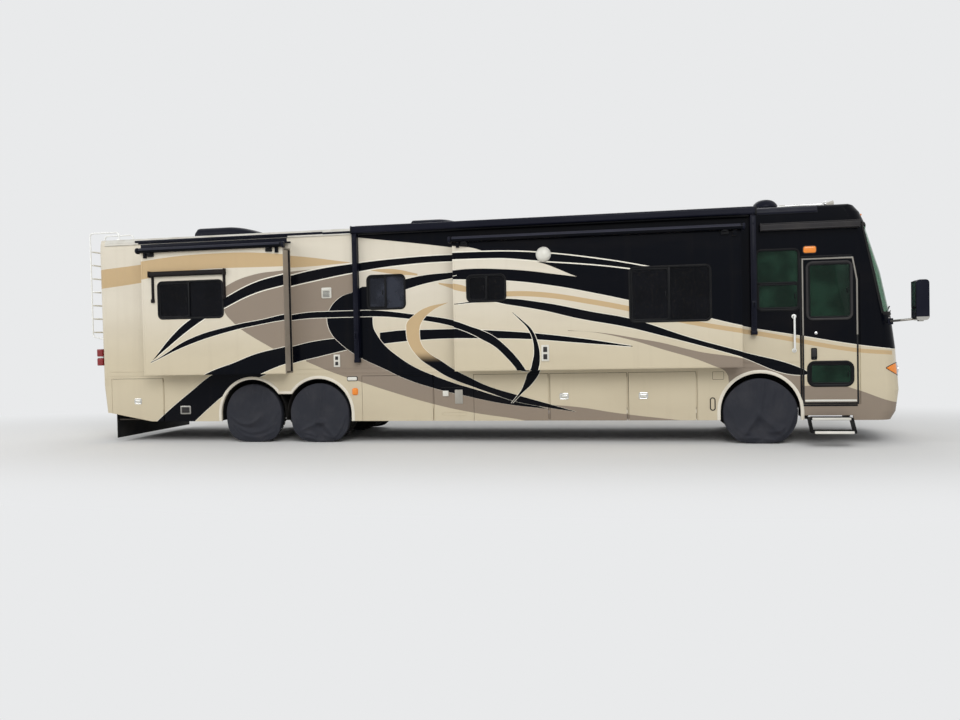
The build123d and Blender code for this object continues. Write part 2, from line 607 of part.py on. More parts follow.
def front_section(z, nose, corner, inset, rear):
    """Closed plan outline of the front cap at one height."""
    w, r = HALF_WIDTH - inset, FRONT_CORNER_R - inset
    nose, corner = nose - inset, corner - inset
    lean = r * math.sin(math.radians(45))
    start, knee = (corner - r, -w), (corner, -w + r)
    bend = (corner - r + lean, -w + r - lean)
    wire = Wire([Edge.make_line((rear, -w), start), Edge.make_three_point_arc(start, bend, knee),
                 Edge.make_three_point_arc(knee, (nose, 0), (knee[0], -knee[1])),
                 Edge.make_three_point_arc((knee[0], -knee[1]), (bend[0], -bend[1]), (start[0], w)),
                 Edge.make_line((start[0], w), (rear, w)), Edge.make_line((rear, w), (rear, -w))])
    return Pos(0, 0, z) * wire


def front_body(inset, top_drop=0.0, low_drop=0.0):
    """Solid of the front cap's outer form, or of a smaller one inside it."""
    wires = []
    for number, (z, nose, corner) in enumerate(FRONT_SECTIONS):
        last = number == len(FRONT_SECTIONS) - 1
        height = z - top_drop if z > SHIELD_Z[1] else z
        height = height - low_drop if number == 0 else height
        wires.append(front_section(height, nose, corner, inset, CAP_ROOF_X - (0 if inset == 0 else 50)))
    return Solid.make_loft(wires, ruled=True)


def across(points, half=HALF_WIDTH + 100):
    """Prism through the whole width, with an outline in x and z."""
    return Pos(0, half, 0) * extrude(Plane.XZ * make_face(Polyline(*points, close=True)), amount=2 * half)


def shield_boxes():
    """The two windshield openings, which run round the corners to a sloped rear edge."""
    (low, high), (foot, head) = SHIELD_Z, SHIELD_EDGE_X
    ahead = across(((foot, low), (NOSE_X[1], low), (NOSE_X[1], high), (head, high)))
    return [block(NOSE_X, span(side, SHIELD_POST, SHIELD_Y), SHIELD_Z) & ahead for side in (-1, 1)]


def lamp_boxes(y_range, z_range, x_range):
    """Pair of blocks that bound a left and a right lamp."""
    return [block(x_range, span(side, *y_range), z_range) for side in (-1, 1)]


def front_shell():
    """Front cap before its openings: a moulded shell, open behind and below."""
    outer = front_body(0) & crown(0, CAP_ROOF_X - 50, NOSE_X[1])
    shell = outer - (front_body(SHELL, top_drop=SHELL, low_drop=40) & crown(SHELL, CAP_ROOF_X - 60, NOSE_X[1]))
    rear = CAP_ROOF_X - 10
    return shell - across(((rear, 0), (HOUSE_FRONT_X, 0), (HOUSE_FRONT_X, JOINT_LOW_Z), (JOINT_TOP_X, WALL_TOP_Z),
                           (rear, WALL_TOP_Z)))


def front_cap(shell):
    """Front cap with windshield, lamp and grille openings."""
    cap = shell
    for hole in shield_boxes() + lamp_boxes(HEADLAMP_Y, HEADLAMP_Z, NOSE_X):
        cap -= hole
    pitch = (GRILLE_Z[1] - GRILLE_Z[0]) / GRILLE_BARS
    for number in range(GRILLE_BARS):
        low = GRILLE_Z[0] + number * pitch
        cap -= block((HOUSE_FRONT_X + 310, NOSE_X[1]), (-GRILLE_Y, GRILLE_Y), (low, low + pitch * 0.6))
    return cap


def windshield():
    """Two curved panes that fill the front cap's openings."""
    layer = front_body(10, top_drop=10, low_drop=10) - front_body(10 + SHIELD_T, top_drop=10 + SHIELD_T, low_drop=20)
    return Compound([layer & hole for hole in shield_boxes()])


def rear_section(z, flat, corner, radius, inset, front):
    """Closed plan outline of the rear cap at one height."""
    w, r = HALF_WIDTH - inset, radius - inset
    flat, corner = flat + inset, corner + inset
    lean = r * math.sin(math.radians(45))
    start, knee = (corner + r, -w), (corner, -w + r)
    bend = (corner + r - lean, -w + r - lean)
    hip = (flat, -REAR_FLAT_Y)
    wire = Wire([Edge.make_line((front, -w), start), Edge.make_three_point_arc(start, bend, knee),
                 Edge.make_line(knee, hip), Edge.make_line(hip, (hip[0], -hip[1])),
                 Edge.make_line((hip[0], -hip[1]), (knee[0], -knee[1])),
                 Edge.make_three_point_arc((knee[0], -knee[1]), (bend[0], -bend[1]), (start[0], w)),
                 Edge.make_line((start[0], w), (front, w)), Edge.make_line((front, w), (front, -w))])
    return Pos(0, 0, z) * wire


def rear_solid():
    """Solid of the rear cap's outer form."""
    return Solid.make_loft([rear_section(*row, 0, HOUSE_REAR_X) for row in REAR_SECTIONS], ruled=True)


def rear_shell():
    """Rear cap before its openings."""
    outer = rear_solid()
    rows = [(REAR_SKIRT_Z - 10,) + REAR_SECTIONS[0][1:]] + list(REAR_SECTIONS[1:3])
    rows += [(row[0] - SHELL,) + row[1:] for row in REAR_SECTIONS[3:]]
    inner = Solid.make_loft([rear_section(*row, SHELL, HOUSE_REAR_X + 10) for row in rows], ruled=True)
    return (outer & crown(0, -7000, HOUSE_REAR_X)) - (inner & crown(SHELL, -7000, HOUSE_REAR_X + 20))


def rear_cap(shell):
    """Rear cap with the engine doorway and the tail lamp pockets."""
    (z0, z1), half = ENGINE_DOOR_Z, ENGINE_DOOR_Y + GAP
    cap = shell - block((REAR_X - 80, REAR_X + 120), (-half, half), (z0 - GAP, z1 + GAP))
    cap -= block((REAR_X - 80, REAR_X + HINGE_SET + 9), (-half, half), (z1, z1 + GAP + PILLAR))
    for hole in lamp_boxes(TAIL_LAMP_Y, TAIL_LAMP_Z, TAIL_LAMP_X):
        cap -= hole
    _, fixed = engine_hinge()
    return cap + fixed


def engine_hinge():
    """Hinge along the top edge of the engine door."""
    swing, fixed = edge_hinge(2 * ENGINE_DOOR_Y - 200)
    place = Plane(origin=(REAR_X + HINGE_SET, 0, ENGINE_DOOR_Z[1] + HINGE_SET), x_dir=(0, 0, 1), z_dir=(0, 1, 0)).location
    return place * swing, place * fixed


def engine_door():
    """Top-hinged engine door with its louvre slots."""
    (z0, z1), half = ENGINE_DOOR_Z, ENGINE_DOOR_Y
    door = block((REAR_X, REAR_X + SHELL), (-half, half), (z0, z1))
    pitch = (z1 - z0 - 2 * LOUVRE_EDGE) / LOUVRES
    for number in range(LOUVRES):
        low = z0 + LOUVRE_EDGE + number * pitch
        for side in (-1, 1):
            door -= block((REAR_X - 10, REAR_X + 2 * SHELL), span(side, 40, half - LOUVRE_EDGE), (low, low + pitch * 0.45))
    swing, _ = engine_hinge()
    return door + swing


def lamps(front, rear):
    """Head lamps and tail lamps that fill their pockets."""
    heads = [front & hole for hole in lamp_boxes(HEADLAMP_Y, HEADLAMP_Z, NOSE_X)]
    tails = [rear & hole for hole in lamp_boxes(TAIL_LAMP_Y, TAIL_LAMP_Z, TAIL_LAMP_X)]
    return Compound(heads + tails)


# Fittings
def awnings():
    """Rolled patio awning with its two arms, and the cassette over the door."""
    y, z = span(-1, *AWNING_Y), AWNING_Z
    case = block(AWNING_X, y, z)
    case = fillet(case.edges().filter_by(Axis.X).group_by(Axis.Y)[0], 30)
    for x, foot in zip((AWNING_X[0], AWNING_X[1] - AWNING_ARM_W), AWNING_ARM_Z):
        case += block((x, x + AWNING_ARM_W), span(-1, HALF_WIDTH, HALF_WIDTH + AWNING_ARM_D), (foot, z[0] - 10))
        case += block((x, x + AWNING_ARM_W), span(-1, AWNING_Y[0], HALF_WIDTH + AWNING_ARM_D), (z[0] - 11, z[0] + 5))
    door_case = block(DOOR_AWNING_X, span(-1, HALF_WIDTH, HALF_WIDTH + 110), DOOR_AWNING_Z)
    door_case = fillet(door_case.edges().filter_by(Axis.X).group_by(Axis.Y)[0], 35)
    return Compound([case, door_case])


def ladder():
    """Rear ladder whose rails hook over the roof edge."""
    parts = None
    top = LADDER_TOP_Z
    for y in LADDER_Y:
        rail = tube_path(((REAR_X + 70, y, LADDER_LOW_Z), (LADDER_X, y, LADDER_LOW_Z + 60), (LADDER_X, y, top),
                          (LADDER_HOOK_X, y, top), (LADDER_HOOK_X, y, ROOF_CROWN_Z - 30)), LADDER_R, 60)
        parts = rail if parts is None else parts + rail
    for number in range(LADDER_RUNGS):
        z = RUNG_LOW_Z + number * (RUNG_HIGH_Z - RUNG_LOW_Z) / (LADDER_RUNGS - 1)
        parts += rod((LADDER_X, LADDER_Y[0], z), (LADDER_X, LADDER_Y[1], z), LADDER_R - 2)
    return parts


def mirrors():
    """Two arm-mounted mirrors ahead of the windshield."""
    pair = []
    for side in (-1, 1):
        head = block(MIRROR_X, span(side, *MIRROR_Y), MIRROR_Z)
        head = fillet(head.edges().filter_by(Axis.Y), 50)
        foot = (MIRROR_FOOT_X, side * (HALF_WIDTH - 100), MIRROR_Z[0])
        middle = [sum(r) / 2 for r in (MIRROR_X, MIRROR_Y)]
        elbow = (MIRROR_FOOT_X + 120, side * (MIRROR_Y[0] - 70), MIRROR_Z[0] + 10)
        arm = tube_path((foot, elbow, (middle[0], side * middle[1], MIRROR_Z[0] + 30)), MIRROR_ARM_R, 80)
        base = Pos(*foot) * Box(120, 90, 90)
        pair.append(head + arm + base)
    return pair


def roof_air():
    """Rooftop air conditioner shrouds."""
    units = []
    for x0, x1, height in AC_UNITS:
        unit = block((x0, x1), (-AC_HALF_W, AC_HALF_W), (ROOF_CROWN_Z - 25, ROOF_CROWN_Z + height))
        unit = fillet(unit.edges().filter_by(Axis.Z), 90)
        unit = chamfer(unit.faces().sort_by(Axis.Z)[-1].edges(), 70)
        units.append(unit)
    return units


def roof_fittings():
    """Satellite dome and a pair of air horns on their rail."""
    rim, low = DOME_H - 130, -90
    profile = Polyline((30, DOME_H), (0, DOME_H), (0, low), (DOME_R, low), (DOME_R, rim)) + ThreePointArc(
        (DOME_R, rim), (DOME_R * 0.72, rim + 93), (30, DOME_H))
    dome = Pos(*DOME_AT, ROOF_CROWN_Z) * revolve(Plane.XZ * make_face(profile), axis=Axis.Z)
    horn = rod((HORN_X[0], HORN_Y, HORN_Z), (HORN_X[1], HORN_Y, HORN_Z), HORN_R)
    horn += Pos(HORN_X[1] - HORN_BELL_R, HORN_Y, HORN_Z) * Rot(0, 90, 0) * Cone(HORN_R, HORN_BELL_R, 2 * HORN_BELL_R)
    for x in (HORN_X[0] + 60, HORN_X[1] - 160):
        horn += block((x - 20, x + 20), (HORN_Y - 20, HORN_Y + 20), (ROOF_SHOULDER_Z - 5, HORN_Z))
    return [dome, horn]


def mud_flap():
    """Full-width rock guard hung from the frame's end."""
    flap = block((FLAP_X, FLAP_X + FLAP_T), (-FLAP_Y, FLAP_Y), FLAP_Z)
    flap += block((FLAP_X, RAIL_X[0]), (-FLAP_Y, FLAP_Y), (FLAP_Z[1] - 60, FLAP_Z[1]))
    clear = HITCH_HALF + 10
    flap -= block((FLAP_X - 10, RAIL_X[0] + 10), (-clear, clear), (HITCH_Z - clear, FLAP_Z[1] + 10))
    for side in (-1, 1):
        flap += block((FLAP_X, RAIL_X[0]), span(side, RAIL_Y - RAIL_W, RAIL_Y), (FLAP_Z[1] - 60, RAIL_TOP_Z - RAIL_H))
    return flap


def entry_step():
    """Two treads on side arms with runners that slide under the stepwell."""
    y0 = -HALF_WIDTH - 10
    upper = block(STEP_X, (y0 - STEP_DEPTH, y0), (STEP_UPPER_Z - STEP_T, STEP_UPPER_Z))
    lower_y = (y0 - 2 * STEP_DEPTH + 10, y0 - STEP_DEPTH + 10)
    lower = block(STEP_X, lower_y, (STEP_LOWER_Z - STEP_T, STEP_LOWER_Z))
    body = upper + lower
    points = ((y0, STEP_UPPER_Z), (y0, STEP_UPPER_Z - STEP_RUNNER_H), (lower_y[1], STEP_LOWER_Z - STEP_T),
              (lower_y[0], STEP_LOWER_Z - STEP_T), (lower_y[0], STEP_LOWER_Z), (y0 - STEP_DEPTH, STEP_UPPER_Z))
    arm = extrude(Plane.YZ * make_face(Polyline(*points, close=True)), amount=STEP_ARM)
    for x in (STEP_X[0] - STEP_ARM, STEP_X[1]):
        body += Pos(x, 0, 0) * arm
        body += block((x, x + STEP_ARM), (y0, -STEP_RUNNER_Y), (STEP_UPPER_Z - STEP_RUNNER_H, STEP_UPPER_Z))
    return body


def engine():
    """Engine and gearbox as one closed block between the rails."""
    return block(ENGINE_X, (-ENGINE_HALF_W, ENGINE_HALF_W), ENGINE_Z)


# Cab
def steering_plane():
    """Plane of the steering wheel, its normal up the column."""
    tilt = math.radians(STEERING_TILT)
    return Plane(origin=STEERING_AT, x_dir=(math.cos(tilt), 0, math.sin(tilt)), z_dir=(-math.sin(tilt), 0, math.cos(tilt)))


def steering_wheel():
    """Grip, spokes, hub and column."""
    wheel_part = Torus(STEERING_R, STEERING_GRIP_R) + Pos(0, 0, -20) * Cylinder(55, 40)
    for angle in (90, 210, 330):
        wheel_part += Rot(0, 0, angle) * block((40, STEERING_R), (-16, 16), (-14, -4))
    wheel_part += Pos(0, 0, -170) * Cylinder(COLUMN_R, 300)
    return steering_plane().location * wheel_part


def dashboard():
    """Dashboard with the socket that the steering column turns in."""
    (x0, x1), top = DASH_X, DASH_TOP_Z
    points = ((x0 + 180, DECK_Z), (x0 + 140, 1500), (x0, 1640), (x0, top - 20), (x0 + 120, top), (x1, top - 10), (x1, DECK_Z))
    dash = Pos(0, 1040, 0) * extrude(Plane.XZ * make_face(Polyline(*points, close=True)), amount=2080)
    dash -= block((x0 - 10, HOUSE_FRONT_X + 10), (-1100, -WELL_Y + 40), (0, DECK_Z + 300))
    dash -= steering_plane().location * Pos(0, 0, -300) * Cylinder(COLUMN_R + SEAT, 600)
    return dash


def cab_seats():
    """Driver's and passenger's seats on their pedestals."""
    pair = []
    for y in SEATS_Y:
        x0, x1 = SEAT_X
        cushion = block((x0, x1), (y - SEAT_HALF_W, y + SEAT_HALF_W), (1500, 1640))
        back = block((x0 - 60, x0 + 80), (y - SEAT_HALF_W, y + SEAT_HALF_W), (1560, 2350))
        seat = cushion + back
        seat += block((x0 + 120, x1 - 120), (y - 150, y + 150), (DECK_Z, 1500))
        pair.append(seat)
    return pair


def build_nodes():
    """Every piece by its node name."""
    front, rear = front_shell(), rear_shell()
    nodes = {
        "chassis_frame": chassis_frame(),
        "floor_deck": floor_deck(),
        "axles": axles(),
        "engine_block": engine(),
        "wall_right": side_wall(-1),
        "wall_left": side_wall(1),
        "skirt_right": skirt(-1),
        "skirt_left": skirt(1),
        "roof": roof(),
        "front_cap": front_cap(front),
        "rear_cap": rear_cap(rear),
        "windshield": windshield(),
        "lamps": lamps(front, rear),
        "engine_door": engine_door(),
        "entry_door": entry_door(),
        "entry_door_glass": Compound(glazing((ENTRY_GLASS, ENTRY_LOWER_GLASS), -1, HALF_WIDTH)),
        "entry_step": entry_step(),
        "awnings": awnings(),
        "ladder": ladder(),
        "mirrors": Compound(mirrors()),
        "mud_flap": mud_flap(),
        "dashboard": dashboard(),
        "steering_wheel": steering_wheel(),
        "cab_seats": Compound(cab_seats()),
    }
    nodes["roof_air_conditioners"] = Compound([unit - nodes["roof"] for unit in roof_air()])
    nodes["roof_fittings"] = Compound([unit - crown(0, HOUSE_REAR_X, NOSE_X[1]) for unit in roof_fittings()])
    nodes["ladder"] = nodes["ladder"] - nodes["roof"] - rear_solid()
    nodes["mirrors"] = Compound([m - front_body(0) for m in mirrors()])
    panes = []
    for side in (-1, 1):
        panes += glazing([row[1:] for row in SIDE_WINDOWS if row[0] == side], side, HALF_WIDTH)
    nodes["window_glass"] = Compound(panes)
    for name, side, x0, x1, z0, z1, windows in SLIDES:
        nodes[name] = slide_room(side, x0, x1, z0, z1, windows)
        nodes[name + "_glass"] = Compound(glazing(windows, side, HALF_WIDTH + SLIDE_OUT))
    for name, side, x0, x1 in BAGGAGE_DOORS:
        nodes[name] = baggage_door(side, x0, x1)
    for side, word in ((-1, "right"), (1, "left")):
        nodes["knuckle_" + word] = knuckle(side)
        for place, axle_x, bore, twin in (("front", FRONT_AXLE_X, 30 + SEAT, False),
                                          ("drive", DRIVE_AXLE_X, HUB_R + SEAT, True),
                                          ("tag", TAG_AXLE_X, HUB_R + SEAT, False)):
            nodes[f"{place}_wheel_{word}"] = wheel(side, axle_x, bore, twin)
            nodes[f"{place}_cover_{word}"] = wheel_cover(side, axle_x)
    return nodes


if __name__ == "__main__":
    os.makedirs("parts", exist_ok=True)
    for node, shape in build_nodes().items():
        export_step(Pos(CENTRE_SHIFT, 0, 0) * shape, f"parts/{node}.step")
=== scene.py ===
"""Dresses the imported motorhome: paint scheme, glazing, wheels, soft covers and outside fittings."""
from __future__ import annotations

import json
import logging
import math
from collections.abc import Sequence
from dataclasses import dataclass
from enum import Enum

import bmesh
import bpy
from mathutils import Matrix, Vector

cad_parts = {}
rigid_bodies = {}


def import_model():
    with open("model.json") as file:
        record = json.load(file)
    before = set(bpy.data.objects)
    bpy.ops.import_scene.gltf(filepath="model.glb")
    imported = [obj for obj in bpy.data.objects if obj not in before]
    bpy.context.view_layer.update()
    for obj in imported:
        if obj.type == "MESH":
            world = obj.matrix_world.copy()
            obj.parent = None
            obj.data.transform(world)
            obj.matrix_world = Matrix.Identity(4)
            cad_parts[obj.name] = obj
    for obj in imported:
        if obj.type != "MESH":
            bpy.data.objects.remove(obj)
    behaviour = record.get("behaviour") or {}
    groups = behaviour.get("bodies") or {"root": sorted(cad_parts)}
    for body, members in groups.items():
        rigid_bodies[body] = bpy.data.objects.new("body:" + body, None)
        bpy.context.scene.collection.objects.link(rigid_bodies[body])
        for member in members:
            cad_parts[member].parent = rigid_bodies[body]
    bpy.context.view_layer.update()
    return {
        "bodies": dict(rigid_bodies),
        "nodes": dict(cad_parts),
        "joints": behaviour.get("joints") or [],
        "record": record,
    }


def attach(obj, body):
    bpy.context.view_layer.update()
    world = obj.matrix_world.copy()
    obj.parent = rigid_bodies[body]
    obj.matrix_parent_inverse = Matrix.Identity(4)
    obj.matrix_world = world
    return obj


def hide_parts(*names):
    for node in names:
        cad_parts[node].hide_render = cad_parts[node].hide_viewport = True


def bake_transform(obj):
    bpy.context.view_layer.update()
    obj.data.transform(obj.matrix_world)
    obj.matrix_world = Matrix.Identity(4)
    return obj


LOG = logging.getLogger("motorhome")
SHIFT = -0.0735                # from the coach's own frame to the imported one, along X
HALF_WIDTH = 1.28
SLIDE_FACE = 1.58
WHEEL_Y = 1.105
AXLE_Z = 0.49

Point = tuple[float, float]
Point3 = tuple[float, float, float]
Span = tuple[float, float]


def srgb(red: int, green: int, blue: int) -> tuple[float, float, float, float]:
    """Linear colour of a screen colour given in steps of 255."""
    def linear(step: int) -> float:
        """Linear light of one channel."""
        share = step / 255
        return share / 12.92 if share <= 0.04045 else ((share + 0.055) / 1.055) ** 2.4
    return (linear(red), linear(green), linear(blue), 1.0)


# CREAM, the darker low tone, and CREAM_HIGH, the lighter high tone, make the body's painted shade from bottom to top;
# CREAM_HIGH is also the real paint of the leaf, the wedge and the rear cap's top strip
CREAM = srgb(205, 193, 167)
CREAM_HIGH = srgb(218, 210, 193)
MIDNIGHT = srgb(5, 7, 14)
TAUPE = srgb(144, 131, 117)
TAN = srgb(196, 170, 131)
PIN = srgb(236, 231, 216)
STRIP = srgb(165, 155, 142)
INNER_PANEL = srgb(176, 164, 146)
ROAD_DUST = srgb(150, 132, 106)
BACKDROP = srgb(233, 234, 235)


class Signal:
    """A shader socket that can be used in ordinary arithmetic."""

    def __init__(self, graph: "Graph", socket: bpy.types.NodeSocket) -> None:
        """Wraps one output socket of a node tree."""
        self.graph = graph
        self.socket = socket

    def _math(self, operation: str, *values: "Signal | float") -> "Signal":
        """Adds one Math node.

        Args:
            operation: the Math node's operation.
            values: its inputs, sockets or numbers.

        Returns:
            The node's result.
        """
        return self.graph.node("ShaderNodeMath", {"operation": operation}, dict(enumerate(values)))

    def __add__(self, other: "Signal | float") -> "Signal":
        """Sum."""
        return self._math("ADD", self, other)

    __radd__ = __add__

    def __sub__(self, other: "Signal | float") -> "Signal":
        """Difference."""
        return self._math("SUBTRACT", self, other)

    def __rsub__(self, other: float) -> "Signal":
        """Difference from a number."""
        return self._math("SUBTRACT", other, self)

    def __mul__(self, other: "Signal | float") -> "Signal":
        """Product."""
        return self._math("MULTIPLY", self, other)

    __rmul__ = __mul__

    def __gt__(self, other: "Signal | float") -> "Signal":
        """1 where this is the greater."""
        return self._math("GREATER_THAN", self, other)

    def __lt__(self, other: "Signal | float") -> "Signal":
        """1 where this is the smaller."""
        return self._math("LESS_THAN", self, other)

    def __abs__(self) -> "Signal":
        """Size without sign."""
        return self._math("ABSOLUTE", self)

    def __or__(self, other: "Signal") -> "Signal":
        """The larger of two masks."""
        return self._math("MAXIMUM", self, other)

    def __and__(self, other: "Signal") -> "Signal":
        """The smaller of two masks."""
        return self._math("MINIMUM", self, other)

    def wave(self, pitch: float) -> "Signal":
        """Sine of this length with the given pitch in metres."""
        return self._math("SINE", self * (2 * math.pi / pitch))

    def ramp(self, low: float, high: float, start: float = 0.0, end: float = 1.0) -> "Signal":
        """Smooth step.

        Args:
            low: the value at which the step starts.
            high: the value at which it ends.
            start: what it gives before the step.
            end: what it gives after the step.

        Returns:
            The stepped value.
        """
        return self.graph.node("ShaderNodeMapRange", {"interpolation_type": "SMOOTHSTEP"},
                               {0: self, 1: low, 2: high, 3: start, 4: end})


Colour = "Signal | tuple[float, float, float, float]"


class Graph:
    """A material's node tree while it is made."""

    def __init__(self, name: str, tree: bpy.types.NodeTree | None = None) -> None:
        """Starts a material with its Principled shader, or works on a tree that is there."""
        self._place: Signal | None = None
        self.tree = tree
        if tree is None:
            self.material = bpy.data.materials.new(name)
            self.material.use_nodes = True
            self.tree = self.material.node_tree
            self.shader = self.tree.nodes["Principled BSDF"]
            self.output = self.tree.nodes["Material Output"]

    def node(self, kind: str, settings: dict[str, object] | None = None,
             inputs: dict[int | str, object] | None = None, output: int | str = 0) -> Signal:
        """Adds any node.

        Args:
            kind: the node's type.
            settings: attributes that are set before anything is linked.
            inputs: values or signals by socket number or name.
            output: which output to give back.

        Returns:
            That output.
        """
        made = self.tree.nodes.new(kind)
        for key, value in (settings or {}).items():
            setattr(made, key, value)
        for key, value in (inputs or {}).items():
            self.feed(made.inputs[key], value)
        return Signal(self, made.outputs[output])

    def feed(self, socket: bpy.types.NodeSocket, value: object) -> None:
        """Links a signal to a socket, or sets its number or colour."""
        if isinstance(value, Signal):
            self.tree.links.new(value.socket, socket)
        else:
            socket.default_value = value

    def place(self) -> Signal:
        """Object coordinates."""
        if self._place is None:
            self._place = self.node("ShaderNodeTexCoord", output="Object")
        return self._place

    def axes(self) -> tuple[Signal, Signal, Signal]:
        """X, Y and Z of the surface point."""
        first = self.node("ShaderNodeSeparateXYZ", inputs={0: self.place()})
        made = first.socket.node
        return tuple(Signal(self, made.outputs[k]) for k in range(3))

    def noise(self, scale: float, detail: float = 3.0, stretch: Point3 = (1, 1, 1)) -> Signal:
        """Noise from 0 to 1.

        Args:
            scale: cells a metre.
            detail: octaves.
            stretch: factor on each axis, below 1 for long streaks.

        Returns:
            The noise value.
        """
        place = self.node("ShaderNodeMapping", inputs={"Vector": self.place(), "Scale": stretch})
        return self.node("ShaderNodeTexNoise", inputs={"Vector": place, "Scale": scale, "Detail": detail})

    def mix(self, factor: "Signal | float", first: object, second: object) -> Signal:
        """Colour that goes from the first to the second as the factor goes from 0 to 1."""
        made = self.tree.nodes.new("ShaderNodeMix")
        made.data_type = "RGBA"
        self.feed(made.inputs["Factor"], factor)
        self.feed(made.inputs[6], first)
        self.feed(made.inputs[7], second)
        return Signal(self, made.outputs[2])

    def curve(self, along: Signal, points: Sequence[Point]) -> Signal:
        """Smooth line through a few points.

        Args:
            along: the value on the first axis.
            points: the line's points, in rising order of the first axis.

        Returns:
            The second axis' value.
        """
        made = self.tree.nodes.new("ShaderNodeFloatCurve")
        mapping = made.mapping
        mapping.use_clip = False
        mapping.extend = "HORIZONTAL"
        line = mapping.curves[0]
        while len(line.points) < len(points):
            line.points.new(0.5, 0.5)
        for target, (first, second) in zip(line.points, points):
            target.location = (first, second)
            target.handle_type = "AUTO_CLAMPED"
        mapping.update()
        self.feed(made.inputs["Value"], along)
        return Signal(self, made.outputs[0])

    def bump(self, height: Signal, distance: float, strength: float = 1.0) -> Signal:
        """Normal that is raised by a height signal."""
        return self.node("ShaderNodeBump", inputs={"Height": height, "Distance": distance, "Strength": strength})

    def set(self, **values: object) -> None:
        """Feeds the Principled shader's sockets, underscores standing for spaces."""
        for key, value in values.items():
            self.feed(self.shader.inputs[key.replace("_", " ")], value)


class Grain(Enum):
    """What the surface of a finish is like close up."""

    SMOOTH = "smooth"
    MOULDED = "moulded"
    WEAVE = "weave"
    BRUSHED = "brushed"
    CAST = "cast"
    LEATHER = "leather"


@dataclass(frozen=True)
class Finish:
    """A plain material with wear, dust and a fine surface.

    Args:
        name: the material's name.
        colour: its main colour.
        second: the colour of its patches and dust.
        rough: middle roughness.
        metal: metallic share.
        coat: clear coat weight.
        grain: kind of fine surface.
        size: cells of the grain in a metre.
        depth: height of the grain in metres.
        patch: share of the second colour.
        gloss: level of its plain reflections.
    """

    name: str
    colour: tuple[float, float, float, float]
    second: tuple[float, float, float, float]
    rough: float = 0.5
    metal: float = 0.0
    coat: float = 0.0
    grain: Grain = Grain.SMOOTH
    size: float = 400.0
    depth: float = 0.0003
    patch: float = 0.25
    gloss: float = 0.25

    def fine(self, graph: "Graph") -> Signal:
        """Height signal of the grain."""
        if self.grain is Grain.WEAVE:
            x, y, z = graph.axes()
            warp = (x + y).wave(1 / self.size)
            weft = (z + y).wave(1 / self.size)
            return warp * weft * 0.5 + 0.5
        if self.grain is Grain.BRUSHED:
            return graph.noise(self.size, 2.0, (0.04, 1, 1))
        if self.grain is Grain.LEATHER:
            place = graph.place()
            return graph.node("ShaderNodeTexVoronoi", {"feature": "DISTANCE_TO_EDGE"},
                              {"Vector": place, "Scale": self.size}).ramp(0.0, 0.25)
        detail = 5.0 if self.grain is Grain.CAST else 2.0
        return graph.noise(self.size, detail)

    def make(self) -> bpy.types.Material:
        """Builds the material, once.

        Returns:
            The material.
        """
        found = bpy.data.materials.get(self.name)
        if found:
            return found
        graph = Graph(self.name)
        self.dress(graph, self.colour, self.second, self.rough, self.metal)
        return graph.material

    def dress(self, graph: Graph, colour: object, second: object, rough: object, metal: object) -> None:
        """Feeds the shader.

        Args:
            graph: the material in the making.
            colour: the main colour.
            second: the colour of patches and dust.
            rough: middle roughness.
            metal: metallic share.
        """
        cloud = graph.noise(3.1, 5.0)
        speck = graph.noise(34.0, 3.0)
        worn = cloud.ramp(0.42, 0.72) * (speck * 0.6 + 0.4) * self.patch
        fine = self.fine(graph)
        shade = graph.mix(worn, colour, second)
        shade = graph.mix(fine.ramp(0.2, 0.8, 0.0, 0.12), shade, second)
        graph.set(Base_Color=shade, Roughness=worn * 0.35 + fine * 0.08 + (rough - 0.04), Metallic=metal,
                  Coat_Weight=self.coat, Specular_IOR_Level=self.gloss, Normal=graph.bump(fine, self.depth))


@dataclass(frozen=True)
class Zone:
    """A box-shaped part of a piece that has a finish of its own.

    Args:
        finish: its finish.
        x: its ends along X.
        y: its ends along Y.
        z: its ends along Z.
        wide: its ends in distance from the coach's middle.
    """

    finish: Finish
    x: Span | None = None
    y: Span | None = None
    z: Span | None = None
    wide: Span | None = None

    def mask(self, graph: Graph) -> Signal:
        """1 inside the zone."""
        x, y, z = graph.axes()
        inside = None
        for value, ends in ((x, self.x), (y, self.y), (z, self.z), (abs(y), self.wide)):
            if ends:
                here = (value > ends[0]) * (value < ends[1])
                inside = here if inside is None else inside * here
        return inside


@dataclass(frozen=True)
class Zoned:
    """A finish for one piece that is made of several materials.

    Args:
        name: the material's name.
        base: its main finish.
        zones: the parts that differ, later ones on top.
    """

    name: str
    base: Finish
    zones: tuple[Zone, ...]

    def make(self) -> bpy.types.Material:
        """Builds the material, once.

        Returns:
            The material.
        """
        found = bpy.data.materials.get(self.name)
        if found:
            return found
        graph = Graph(self.name)
        colour, second, rough, metal = self.base.colour, self.base.second, self.base.rough, self.base.metal
        for zone in self.zones:
            mask, finish = zone.mask(graph), zone.finish
            colour, second = graph.mix(mask, colour, finish.colour), graph.mix(mask, second, finish.second)
            rough = mask * finish.rough + (1 - mask) * rough
            metal = mask * finish.metal + (1 - mask) * metal
        self.base.dress(graph, colour, second, rough, metal)
        return graph.material


class Face(Enum):
    """Which part of the coach a coat of the paint scheme is for."""

    BODY = "body"
    ROOM = "room"
    CAP = "cap"


@dataclass(frozen=True)
class Stripe:
    """A painted band between two lines.

    Args:
        low: points of its lower (or rear) line.
        high: points of its upper (or front) line.
        colour: its paint.
        upright: True where the lines give x for a height, and not height for an x.
        pin: True for a fine light line along both edges.
    """

    low: tuple[Point, ...]
    high: tuple[Point, ...]
    colour: tuple[float, float, float, float]
    upright: bool = False
    pin: bool = True


